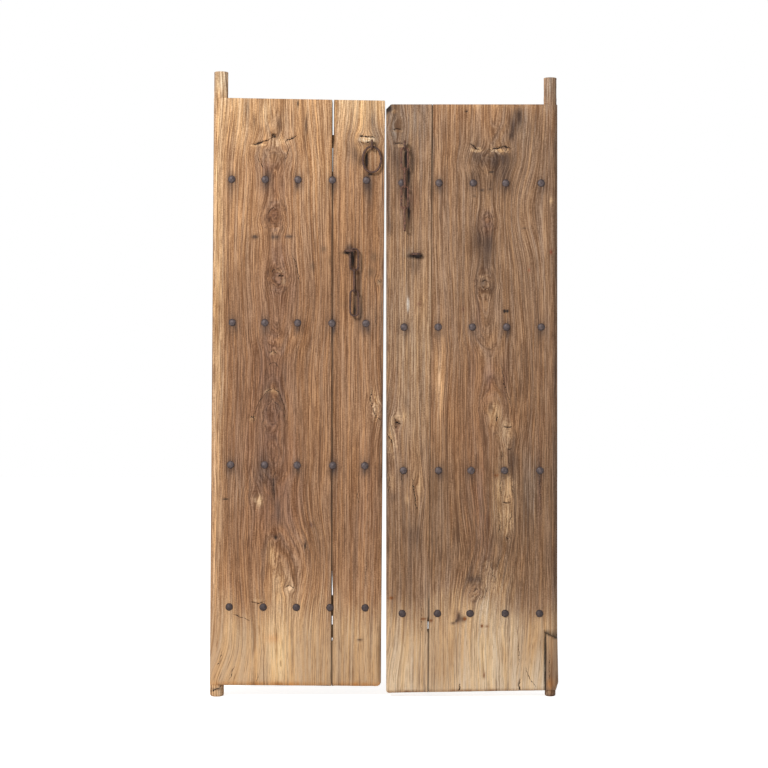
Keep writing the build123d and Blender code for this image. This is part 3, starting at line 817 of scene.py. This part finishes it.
right_joint = joint_line(low=374, high=360.5, foot=right_foot, top=right_top)
right_joint_dirt_and_shade = ((0, 0.8), (290, 0.8), (320, 0.2), (1400, 0.2), (1560, 0.8), (right_top, 0.8))
right_pivot_board = board_values(
    name="right_pivot_plank",
    side="right",
    seed=17,
    column_pitch=2.5,
    round_edge=True,
    reshape=cut_notch,
    side_b=right_joint,
    bottom=(right_foot, right_foot_slope),
    top=(right_top, 0),
    pintles=(("head", 19.5, 83),),
    joint_dirt=right_joint_dirt_and_shade,
    torn_tone=dry_fibre,
    heart_line=(
        (20, 205), (315, 205), (480, 165), (600, 152), (750, 158), (915, 180), (1259, 200), (1452, 192),
        (1620, 188), (1808, 170),
    ),
    pith_depth=(
        (20, 6), (160, 5), (320, 9), (480, 5), (600, 8), (750, 12), (850, 26), (950, 40), (1040, 44),
        (1130, 16), (1200, 6), (1280, 10), (1380, 5), (1480, 10), (1570, 6), (1680, 32), (1750, 14),
        (1808, 6),
    ),
    sweeps=(
        ((88, 1490), (62, 140), -36), ((100, 700), (60, 180), -8), ((60, 20), (60, 120), -18),
        ((235, 430), (60, 150), 26), ((310, 1120), (40, 200), 12), ((80, 1000), (50, 160), 14),
    ),
    knots=(
        ((192, 1452), (20, 26), 14), ((200, 1259), (22, 32), 20), ((132, 485), (8, 10), 5),
        ((228, 315), (16, 18), 10), ((134, 597), (12, 16), 6), ((184, 890), (24, 40), -8),
        ((184, 1640), (40, 30), -8), ((127, 800), (16, 30), 8),
    ),
    tones=(
        (20, bleached), (130, straw), (220, straw), (300, drab), (420, umber), (650, umber), (850, nut),
        (1250, drab), (1700, drab), (1800, tan),
    ),
    seams=((((19, 230), (19, 110), (19, -10)), 2.4, 1), (((-40, 171), (-4, 189), (30, 204)), 2.4, 1)),
    stains={
        ivory: [(185, 120, 40, 90, 0.5)],
        honey: [(190, 1806, 130, 14, 0.6), (338, 960, 11, 120, 0.6), (350, 970, 4, 100, 0.4)],
        tan: [(320, 1640, 40, 200, 0.5), (280, 620, 50, 240, 0.35)],
        soot_and_shade: [
            (100, 1772, 15, 26, 1.0), (112, 1744, 15, 26, 1.0), (124, 1714, 13, 20, 0.9),
            (160, 1638, 40, 28, 1.0), (150, 1598, 26, 30, 0.75), (226, 1648, 26, 32, 0.6),
            (236, 1588, 16, 22, 0.7), (182, 1560, 12, 26, 0.6), (200, 1390, 30, 56, 0.9),
            (190, 1380, 10, 24, 0.7), (196, 1330, 16, 40, 0.6), (204, 1262, 8, 10, 1.5),
            (182, 1250, 9, 20, 0.5), (186, 880, 9, 24, 0.5), (110, 780, 7, 30, 0.5),
            (116, 720, 14, 40, 0.7), (233, 357, 20, 13, 1.7), (244, 380, 12, 30, 0.5),
            (270, 238, 12, 9, 1.2), (288, 232, 4, 4, 1.5), (298, 225, 7, 4, 1.2), (280, 244, 4, 15, 1.4),
            # Painted shade: the first stain below, a long one along the rounded hanging edge, darkens its
            # side away from the lamp.
            (-16, 900, 8, 1200, 0.75), (210, 1546, 7, 3, 1.4), (185, 1549, 6, 3, 1.4),
            (232, 1528, 6, 3, 1.4), (81, 1430, 9, 3, 1.0), *nail_halos("right", -2, 26, high=380),
        ],
        grey: [(90, 1750, 60, 70, 0.5), (60, 640, 30, 120, 0.4)],
        umber: [
            (180, 1600, 80, 80, 0.7), (230, 1390, 50, 50, 0.7), (180, 1270, 44, 60, 0.5),
            (90, 1000, 80, 300, 0.5), (40, 900, 40, 500, 0.4), (60, 420, 60, 150, 0.4),
        ],
        heart: [
            (196, 1440, 24, 40, 0.6), (236, 1030, 16, 120, 0.5), (220, 1160, 16, 60, 0.5),
            (140, 960, 10, 80, 0.6), (185, 905, 20, 14, 0.6), (196, 480, 14, 120, 0.6),
            (34, 660, 6, 150, 0.8),
        ],
        brown: [
            (190, 960, 24, 60, 0.6), (220, 640, 40, 200, 0.45), (226, 318, 14, 14, 0.6),
            (282, 240, 9, 22, 0.8), (267, 1183, 5, 7, 1.4),
        ],
        straw: [
            (172, 870, 16, 34, 0.8), (140, 810, 20, 34, 0.7), (150, 640, 30, 70, 0.5),
            (146, 560, 34, 70, 0.45), (150, 330, 34, 60, 0.5), (300, 150, 60, 60, 0.6),
        ],
        rust: [
            (210, 217, 4, 4, 1.6), (194, 216, 6, 3, 1.5), (203, 66, 3, 9, 1.2), (262, 239, 5, 5, 1.6),
            (365, 233, 5, 4, 1.4),
        ],
        bleached: [
            (200, 120, 80, 130, 0.9), (200, 250, 24, 60, 0.7), (130, 200, 40, 60, 0.6),
            (110, 60, 70, 60, 0.7),
        ],
        russet: [(190, 19, 200, 5, 0.8)],
        black: [
            (257, 1787, 4, 3, 1.5), (182, 1601, 7, 3, 1.5), (132, 1177, 3, 4, 3.0), (141, 1177, 3, 4, 3.0),
        ],
        brick: [(-1, 1357, 4, 6, 1.2), (66, 1302, 3, 5, 1.0)],
        pale: [(-1, 1513, 4, 9, 1.2)],
        ashen: [(0, 1860, 40, 70, 1.0)],
        fox: [(166, 676, 8, 3, 1.2)],
    },
    cracks=(
        (((246, 1690), (230, 1676), (216, 1667)), 2.6, 4),
        (((193, 1667), (166, 1674), (144, 1679), (118, 1675)), 2.6, 4),
        (((152, 1031), (142, 960), (122, 884)), 1.2, 1), (((164, 869), (165, 839)), 2.0, 3),
        (((144, 826), (130, 822), (116, 826)), 2.4, 4), (((134, 758), (126, 755), (116, 758)), 1.8, 3),
        (((128, 738), (124, 706), (126, 674)), 1.2, 2), (((146, 594), (134, 591), (122, 594)), 2.4, 4),
        (((36, 808), (33, 660), (30, 522)), 0.9, 1), (((278, 44), (278, 12)), 1.8, 6),
        (((94, 61), (96, 16)), 1.8, 5), (((99, 168), (96, 130), (101, 86)), 1.0, 1),
        (((78, 96), (66, 60), (44, 26)), 0.9, 1), (((216, 324), (228, 328), (240, 318)), 1.4, 2),
        (((220, 308), (230, 303), (240, 309)), 1.2, 2), (((190, 1266), (200, 1272), (211, 1262)), 1.5, 2),
        (((188, 1250), (200, 1244), (212, 1252)), 1.2, 2),
        (((184, 1458), (192, 1466), (202, 1456)), 1.2, 1), (((140, 487), (132, 484), (124, 488)), 1.6, 2),
        (((150, 440), (160, 400), (152, 360)), 1.0, 1), (((200, 345), (196, 320), (204, 296)), 1.0, 1),
        (((150, 668), (154, 636), (149, 606)), 1.1, 1), (((118, 650), (114, 616)), 1.1, 1),
        (((120, 574), (124, 530)), 1.2, 1), (((158, 570), (154, 524), (160, 492)), 1.1, 1),
        (((138, 560), (135, 516)), 0.9, 1), (((184, 418), (178, 386), (184, 352)), 1.2, 1),
        (((208, 396), (212, 366)), 1.0, 1), (((172, 380), (168, 348)), 1.0, 1),
        (((148, 752), (152, 716)), 1.2, 1),
    ),
    torn=(
        ((226, 1669), (20, 8), 2, 0.7), ((160, 1667), (34, 9), 2.2, 0.7),
        ((200, 1259), (14, 18), 1.2, 0.12), ((228, 314), (12, 9), 1.6, 0.35),
        ((134, 603), (13, 9), 1.6, 0.4), ((130, 834), (14, 8), 1.6, 0.4), ((176, 872), (14, 20), 1.0, 0.35),
        ((132, 764), (10, 6), 1.6, 0.3), ((136, 540), (26, 46), 1.3, 0.34),
        ((134, 640), (26, 44), 1.3, 0.34), ((192, 360), (24, 56), 1.2, 0.34),
        ((146, 730), (12, 30), 1.2, 0.3),
    ),
    fine=((1674, 24), (1259, 20), (1177, 8), (830, 26), (592, 70), (315, 20), (360, 50), (26, 14)),
)
dress(plank(right_pivot_board), "right_pivot_board", "right_leaf", old_elm)

# Repair block
# A fresh length of elm let into the cut-away corner and glued, with a new lower pintle turned on its end.
# It stands a little proud at the foot, and dirt has settled in both of its seams.
flare = 3
flare_height = 43
drawn_in = 18.2
ginger = "#B98553"


def flare_foot(rows, fields):
    """Swell the rounded edge towards the foot, and draw it in again at the end."""
    reach, *others = fields
    edges = [drawn_in, half_thickness + flare, half_thickness]
    swell = np.interp(others[0], [right_foot, flare_height, block_head], edges) / half_thickness
    return [np.where(reach < 0, reach * swell, reach), *others]


foot_block = board_values(
    name="right_foot_repair",
    side="right",
    seed=5,
    row_pitch=4.0,
    column_pitch=1.6,
    round_edge=True,
    reshape=flare_foot,
    side_b=lambda up: block_reach + 0 * up,
    bottom=(right_foot, 0),
    top=(block_top(0), block_slope),
    pintles=(("foot", 16.5, 20),),
    joint_dirt=((0, 0.9), (200, 0.9)),
    heart_line=((0, -60), (200, -64)),
    pith_depth=((0, 30), (200, 34)),
    tones=((0, drab), (40, drab), (200, straw)),
    seams=((((15.5, 230), (16, 110), (15.5, -10)), 2.6, 1), (((-40, 169), (-4, 186), (30, 201)), 2.4, 1)),
    stains={
        black: [
            (17, 110, 3, 110, 0.9), (17, 196, 14, 4, 0.9), (-2, 188, 14, 4, 0.9), (-20, 180, 12, 4, 1.5),
        ],
        ginger: [(0, 40, 24, 16, 0.6)],
        soot_and_shade: [(0, 2, 30, 7, 0.8)],
    },
    cracks=((((4, 150), (2, 90), (5, 30)), 1.0, 2), (((-9, 120), (-8, 60)), 0.9, 2)),
)
dress(plank(foot_block), "right_foot_block", "right_leaf", old_elm)

# Right meeting board
# The narrow plank of the right leaf, its top corner knocked off, with a burl at the meeting edge.
# It carries the long chain and the catch, with dirt round them and painted shadows beside the chain's links
# and under the catch.
fawn, lime_white = "#A68769", "#E2D6C6"
right_gap_shares = ((0, 0.1), (0.1, 0.1), (0.105, 0.8), (0.125, 0.8), (0.13, 0.1), (1, 0.1))
right_meeting_board = board_values(
    name="right_meeting_plank",
    side="right",
    seed=43,
    column_pitch=2.3,
    round_edge=False,
    side_a=open_joint(right_joint, right_foot, right_top, gap=3, shares=right_gap_shares),
    side_b=worn_edge(right_foot, right_top, round_foot=9, broken_top=15),
    bottom=(right_foot, right_foot_slope),
    top=(right_top, 0),
    joint_dirt=right_joint_dirt_and_shade,
    heart_line=((20, 560), (900, 560), (1808, 552)),
    pith_depth=((20, 40), (900, 40), (1808, 30)),
    sweeps=(((500, 20), (60, 150), -26), ((400, 640), (24, 120), 10), ((500, 843), (40, 110), -18)),
    knots=(((468, 842), (12, 18), 5), ((400, 633), (12, 40), 1), ((470, 1735), (20, 30), 6)),
    tones=(
        (20, bleached), (130, straw), (230, straw), (330, drab), (700, drab), (1050, fawn), (1450, drab),
        (1800, drab),
    ),
    stains={
        grey: [(470, 1740, 30, 60, 0.85), (400, 1760, 34, 70, 0.5), (430, 1356, 20, 16, 0.6)],
        # Painted shadows along the chain's links and in the catch's staple, and painted shade in the
        # knocked-off top corner.
        black: [
            (497, 1796, 11, 14, 1.7), (441, 1641, 4.5, 26, 2.4), (433, 1590, 3.5, 26, 2.0),
            (441, 1535, 4, 20, 1.6), (433, 1488, 4, 34, 2.0), (412, 1345, 19, 7, 3.0),
        ],
        # The soot on the pivot side of the chain, at reach 422, is painted shadow; the rest is dirt.
        soot_and_shade: [
            (468, 1640, 16, 46, 0.6), (422, 1640, 10, 40, 0.85), (447, 1625, 14, 60, 0.35),
            (489, 1433, 10, 20, 0.7), (496, 1560, 7, 160, 0.6), (417, 1320, 16, 26, 0.9),
            (416, 490, 18, 46, 0.55), (498, 900, 6, 500, 0.5), (440, 900, 8, 20, 0.4),
            (477, 610, 16, 16, 0.4), *nail_halos("right", -2, 26, low=360),
        ],
        brown: [(428, 1515, 22, 56, 0.6), (402, 1199, 6, 5, 1.4), (478, 1000, 16, 200, 0.3)],
        lime_white: [(435, 1197, 2.5, 16, 2.6)],
        honey: [(376, 960, 7, 110, 0.4)],
        straw: [(450, 856, 22, 16, 0.6), (488, 800, 12, 40, 0.6), (402, 640, 9, 40, 0.4)],
        heart: [(470, 806, 7, 30, 0.6)],
        umber: [(430, 500, 60, 110, 0.8), (440, 380, 50, 120, 0.5)],
        rust: [(389, 238, 8, 3, 1.6), (486, 302, 6, 4, 1.6)],
        bleached: [(450, 110, 56, 110, 0.9)],
        russet: [(440, 15, 80, 5, 0.8)],
    },
    cracks=(
        (((483, 1732), (468, 1734), (454, 1731)), 1.4, 3),
        (((480, 1688), (464, 1690), (450, 1687)), 1.6, 3), (((480, 850), (470, 840), (458, 832)), 2.6, 5),
        (((474, 838), (472, 816)), 1.4, 3), (((499, 808), (490, 786), (481, 762)), 2.0, 4),
        (((422, 672), (416, 629), (411, 590), (407, 561)), 1.9, 3),
        (((396, 300), (394, 220), (397, 150)), 0.8, 1), (((455, 700), (452, 640)), 0.8, 1),
        (((500, 700), (492, 660), (496, 600)), 1.0, 2), (((440, 600), (436, 560)), 0.9, 1),
    ),
    torn=(
        ((478, 1786), (9, 6), 2, 0.4), ((466, 1726), (18, 5), 1.4, 0.3), ((464, 1681), (18, 5), 1.4, 0.35),
        ((486, 782), (16, 46), 2.2, 0.5), ((466, 848), (16, 12), 1.8, 0.4),
        ((484, 836), (10, 12), 1.6, 0.4), ((402, 640), (5, 30), 0.8, 0.12),
        ((440, 600), (12, 16), 0.8, 0.15), ((490, 660), (10, 30), 1.2, 0.2),
    ),
    fine=((1710, 40), (815, 40), (1800, 10), (28, 12)),
)
dress(plank(right_meeting_board), "right_meeting_board", "right_leaf", old_elm)

# Loose tongues and battens
# Rough sawn elm: two tongues in each joint, and four battens nailed across the back of each leaf, with
# their free edges chamfered. Saw marks stand across them, and they keep more of their brown.
tongue = SimpleNamespace(height=40, out=(7, -7), chamfer=0.6)
batten = SimpleNamespace(height=61, out=(-half_thickness, -60), chamfer=5)
sawn_elm = weathered_elm("rough_sawn_elm", 0.9)
sawn_brown, sawn_dust = "#8A6A50", "#9C866F"


def sawn_bar(side, node, name, bar, seed):
    """Section with chamfered back corners, carried along the reach of its solid, with saw marks across it."""
    row_pitch, saw_pitch, saw_depth, back_depth, end_wear, most_dust = 5, 1.3, 0.25, 0.4, 0.8, 0.6
    low, high = (np.array(to_leaf(side, corner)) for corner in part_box(node))
    middle = (low + high) / 2
    length = abs(high[0] - low[0])
    front, back = bar.out
    half, cut = bar.height / 2, bar.chamfer
    corners = np.array([
        (-half, front), (half, front), (half, back + cut), (half - cut, back), (cut - half, back),
        (-half, back + cut), (-half, front),
    ])
    around = np.concatenate([[0], np.cumsum(np.hypot(*np.diff(corners, axis=0).T))])
    at = np.unique(np.concatenate([np.linspace(0, around[-1], 40), around]))[:-1]
    up, out = (np.interp(at, around, line) for line in corners.T)
    inner_rows = np.linspace(2, length - 2, int(length / row_pitch))
    rows = np.concatenate([[0, 0.6], inner_rows, [length - 0.6, length]])
    from_end = np.minimum(rows, length - rows)[:, None]
    reach = middle[0] - length / 2 + rows[:, None] + 0 * up

    # Saw marks, worn ends and a chamfer across each end
    saw_marks = saw_depth * np.sin(reach / saw_pitch + waves(up, reach, seed, (3, 30, 90)))
    rough = saw_marks + waves(reach, up, seed + 1, (0.5, 30, 9))
    worn = np.clip(end_wear - from_end, 0, end_wear)
    up = up * (1 - (worn + saw_depth * (1 - rough)) / half)
    out = np.maximum(out + 0 * reach, back + np.clip(cut - from_end, 0, cut))
    out = out + back_depth * (1 + rough) * np.clip((front - out) / (front - back) * 3 - 1, 0, 1)
    piece = skin(name, to_frame(side, reach, up + middle[1], out))

    # Rings of a pith below the front, dust in clouds, and no cracks
    rings = np.hypot(up + 24 + waves(reach, up, seed + 2, (5, 150, 60)), out - front + 30)
    dusty = np.clip(0.5 + 0.6 * ripple(reach / 70, up / 40 + out / 25, seed + 3), 0, 1)
    colour = laid_over(linear(sawn_brown), linear(sawn_dust), most_dust * dusty)
    grain = np.stack([rings, up + out + seed * 50, reach], axis=-1)
    keep(piece.data, grain, colour, np.stack([0 * reach + no_crack, 0 * reach, 0 * reach], axis=-1))
    dress(piece, node, f"{side}_leaf", sawn_elm)


for side in ("left", "right"):
    for place in ("lower", "upper"):
        sawn_bar(side, f"{side}_{place}_tongue", f"{side}_{place}_loose_tongue", tongue, 61)
    for row in (1, 2, 3, 4):
        sawn_bar(side, f"{side}_batten_{row}", f"{side}_sawn_batten_{row}", batten, 62 + row * 4)

# Nails
# Hand-forged iron: a hammered dome on a square shank, driven through board and batten, and its thin tip bent
# over on the back. A dark, almost purple scale covers them, and the lowest row is blackened by damp.


def rusted_iron(name, dark, light, rust_spots, metallic, roughness):
    """Patches of scale about 7 mm across and rust in pits of 1.2 mm, on the object's own coordinates."""
    patch_size, pit_size = 0.007, 0.0012
    material, tree = new_material(name)
    dark_tone, light_tone, rust_tone = ((*linear(tone), 1) for tone in (dark, light, rust_spots))
    place = add(tree, "TexCoord").outputs["Object"]
    patches = noise(tree, place, 1 / patch_size, 3)
    pits = noise(tree, place, 1 / pit_size, 2)
    scale = mix(tree, ramp(tree, patches, 0.36, 0.64), dark_tone, light_tone)
    rusty = mix(tree, ramp(tree, pits, 0.52, 0.70), scale, rust_tone)
    height = maths(tree, "ADD", patches, pits)
    finish = {"Metallic": metallic, "Roughness": roughness}
    surface(tree, rusty, height, strength=0.5, distance=0.0006, finish=finish)
    return material


nail_scale = rusted_iron("forged_nail_iron", "#383031", "#5E5252", "#4E3A32", 0.3, 0.5)
black_scale = rusted_iron("blackened_nail_iron", "#2A2223", "#453939", "#3E2C27", 0.2, 0.6)
nail_columns = 24


def squared(angle, power):
    """Point on a rounded square of half side 1: cosine and sine raised to a power, with their signs kept."""
    return [np.sign(wave) * np.abs(wave) ** power for wave in (np.cos(angle), np.sin(angle))]


def nail(reach, up, seed):
    """Rounded dome, then a square shank, then a quarter turn over the batten's back to a flat tip."""
    head_radius, head_rise, shank, back, tip = 11.6, 7, 4, -60, 22
    angle = np.linspace(0, 2 * np.pi, nail_columns, endpoint=False) + 0.4 * seed
    right, above = np.cos(angle), np.sin(angle)
    dome = np.radians(np.linspace(5, 90, 9))[:, None]
    uneven = 1 + 0.05 * ripple(right * 2 + seed, above * 2 + seed, 81)
    hammered = 0.8 * ripple(right * dome * 1.4 + seed * 3, above * dome * 1.4, 82)
    radius = head_radius * np.sin(dome) * uneven
    head = [radius * right, -radius * above, half_thickness - 0.6 + (head_rise + hammered) * np.cos(dome)]
    rim = [head[0][-1:] * 0.98, head[1][-1:] * 0.98, np.full((1, nail_columns), half_thickness - 1.6)]
    wide, deep = squared(angle, 0.4)
    shank_out = np.array([half_thickness - 1.8, back + 2.0])[:, None]
    straight = [shank * wide + 0 * shank_out, -shank * deep + 0 * shank_out, shank_out + 0 * wide]
    turn = np.radians(np.linspace(10, 90, 6))[:, None]
    through = (1 + deep) / 2 * np.interp(turn, [0, np.pi / 2], [2 * shank, shank])
    bent = [shank * wide + 0 * turn, shank - through * np.cos(turn), back - through * np.sin(turn)]
    run = np.linspace(0.2, 1, 4)[:, None]
    flat = [(shank - 2 * run) * wide, shank + tip * run + 0 * wide, back - (1 + deep) * (2 - 0.5 * run**4)]
    places = [np.concatenate(fields) for fields in zip(head, rim, straight, bent, flat)]
    return places[0] + reach, places[1] + up, places[2]


for side in ("left", "right"):
    for row in (1, 2, 3, 4):
        places = enumerate(nail_places(side, row), row * 5)
        grids = [to_frame(side, *nail(reach, up, seed)) for seed, (reach, up) in places]
        piece = skin(f"{side}_forged_nails_{row}", *grids)
        iron = black_scale if row == 4 else nail_scale
        dress(piece, f"{side}_nails_{row}", f"{side}_leaf", iron)

# Eyes and staples
# Iron wire bent at the forge, with both legs driven through the board and spread behind it.
# Handling and rain have turned it a deep rust brown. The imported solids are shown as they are.
brown_iron = rusted_iron("rust_brown_iron", "#231713", "#593D31", "#784E39", 0.15, 0.65)
for node in ("left_ring_eye", "left_hasp_staple", "right_chain_eye", "right_catch_staple"):
    frame["nodes"][node].data.materials.clear()
    frame["nodes"][node].data.materials.append(brown_iron)

# Pull ring and chain links
# Rod bent round and forge welded, hung loose one in the next. Each is thinnest at its ends, where it bears on
# its neighbour, and a little thicker at the weld on one side. The right leaf's chain has rusted redder.
red_iron = rusted_iron("rust_red_iron", "#35241C", "#76503F", "#8C5D46", 0.1, 0.75)


def forged_loop(node, name, body, power, seed, iron):
    """Rod carried round an oval: a circle's cosine and sine raised to a power, its halves pulled apart.

    Length, width and rod thickness come from the solid's box."""
    fine_steps, path_steps, rod_columns = 400, 96, 16
    bearing_reach, weld_reach = 0.006, 0.007
    upright = np.array([0, 0, 1.0])
    low, high = (np.array(corner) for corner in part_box(node))
    size = high - low
    middle = (low + high) / 2
    rod = size[:2].min()
    wide_way = np.eye(3)[int(np.argmax(size[:2]))]
    face_way = np.cross(wide_way, upright)
    half_width, half_length = (size[:2].max() - rod) / 2, (size[2] - rod) / 2
    end_rise = half_length if power != 1 else half_width

    # The path, in even steps along its length
    turn = np.linspace(0, 2 * np.pi, fine_steps, endpoint=False) + 1e-4
    across, along = squared(turn, power)
    rise = end_rise * along + (half_length - end_rise) * np.sign(along)
    path = np.stack([half_width * across, rise], axis=-1)
    path = np.concatenate([path, path[:1]])
    done = np.concatenate([[0], np.cumsum(np.hypot(*np.diff(path, axis=0).T))])
    at = np.linspace(0, done[-1], path_steps, endpoint=False)
    path = np.stack([np.interp(at, done, line) for line in path.T], axis=-1)
    ahead = np.roll(path, -1, 0) - np.roll(path, 1, 0)
    ahead /= np.linalg.norm(ahead, axis=1, keepdims=True)

    # The rod round it, hammered uneven, worn on the inside of both ends and swollen at the weld
    angle = np.linspace(0, 2 * np.pi, rod_columns, endpoint=False)
    hammered = 0.05 * ripple(at[:, None] * 150, angle * 1.2, seed)
    bearing = bell((half_length - np.abs(path[:, 1])) / bearing_reach)[:, None] * (np.cos(angle) < 0)
    weld = bell(np.hypot(path[:, 0] - half_width, path[:, 1]) / weld_reach)[:, None]
    radius = rod / 2 * (0.95 + hammered - 0.12 * bearing + 0.06 * weld)
    normal = ahead[:, 1:] * wide_way - ahead[:, :1] * upright
    centre = middle + path[:, :1] * wide_way + path[:, 1:] * upright
    ring = radius[..., None] * (np.cos(angle)[:, None] * normal[:, None] + np.sin(angle)[:, None] * face_way)
    dress(skin(name, centre[:, None] + ring, ring=True), node, body, iron)


forged_loop("left_pull_ring", "left_forged_ring", "pull_ring", 0.94, 91, brown_iron)
chains = (("left", "hasp", 3, 91, brown_iron), ("right", "chain", 4, 95, red_iron))
for side, chain, count, seed, iron in chains:
    for number in range(1, count + 1):
        link = f"{chain}_link_{number}"
        forged_loop(f"{side}_{link}", f"{side}_forged_{chain}_{number}", link, 1, seed + number, iron)

# Floor, light and camera
# A pale studio sweep under soft light from the upper left, seen straight on.


def direct_rays(tree):
    """Strength of 1 for what the camera sees, straight or in metal or glass, and 0 for light it gives."""
    rays = add(tree, "LightPath").outputs
    straight = maths(tree, "MAXIMUM", rays["Is Camera Ray"], rays["Is Glossy Ray"])
    return maths(tree, "MAXIMUM", straight, rays["Is Transmission Ray"])


floor_reach = 14
floor_points = np.array([[x, y, 0.0] for x, y in ((-1, -1), (1, -1), (1, 1), (-1, 1))]) * floor_reach
floor_mesh = bpy.data.meshes.new("studio_floor")
floor_mesh.from_pydata(floor_points.tolist(), [], [(0, 1, 2, 3)])
floor = bpy.data.objects.new("studio_floor", floor_mesh)
bpy.context.collection.objects.link(floor)
floor_paint, floor_tree = new_material("pale_floor")
floor_white = add(floor_tree, "BsdfDiffuse", {"Color": (0.9, 0.9, 0.9, 1)}).outputs[0]
glow_inputs = {"Color": (0.66, 0.66, 0.66, 1), "Strength": direct_rays(floor_tree)}
floor_glow = add(floor_tree, "Emission", glow_inputs).outputs[0]
floor_both = add(floor_tree, "AddShader", {0: floor_white, 1: floor_glow}).outputs[0]
add(floor_tree, "OutputMaterial", {"Surface": floor_both})
floor.data.materials.append(floor_paint)

world = bpy.data.worlds.new("studio")
bpy.context.scene.world = world
world.use_nodes = True
sky_tree = world.node_tree
sky_tree.nodes.clear()
sky_level = ramp(sky_tree, direct_rays(sky_tree), 0, 1, 0.48, 1)
sky = add(sky_tree, "Background", {"Color": (1, 1, 1, 1), "Strength": sky_level}).outputs[0]
add(sky_tree, "OutputWorld", {"Surface": sky})


def lamp(name, place, target, size, power):
    """Square soft light that looks at a point."""
    light = bpy.data.lights.new(name, "AREA")
    light.size = size
    light.energy = power
    lamp_object = bpy.data.objects.new(name, light)
    away = np.array(place, float) - np.array(target, float)
    lamp_object.location = place
    lamp_object.rotation_euler = Vector(away).to_track_quat("Z", "Y").to_euler()
    bpy.context.collection.objects.link(lamp_object)


lamp("key", (-2.5, -4.2, 3.6), (0, 0, 0.95), 1.1, 215)

photo_scale = 3.05
photo_pixels = 768
camera_distance = 6.0
camera = bpy.data.cameras.new("camera")
camera.sensor_width = 36
camera.lens = camera.sensor_width * camera_distance / (photo_scale * photo_pixels / metre)
camera_object = bpy.data.objects.new("camera", camera)
camera_object.location = (0.0015, -camera_distance - half_thickness / metre, 0.9547)
camera_object.rotation_euler = (radians(90), 0, 0)
bpy.context.collection.objects.link(camera_object)
bpy.context.scene.camera = camera_object
bpy.context.scene.view_settings.view_transform = "Standard"
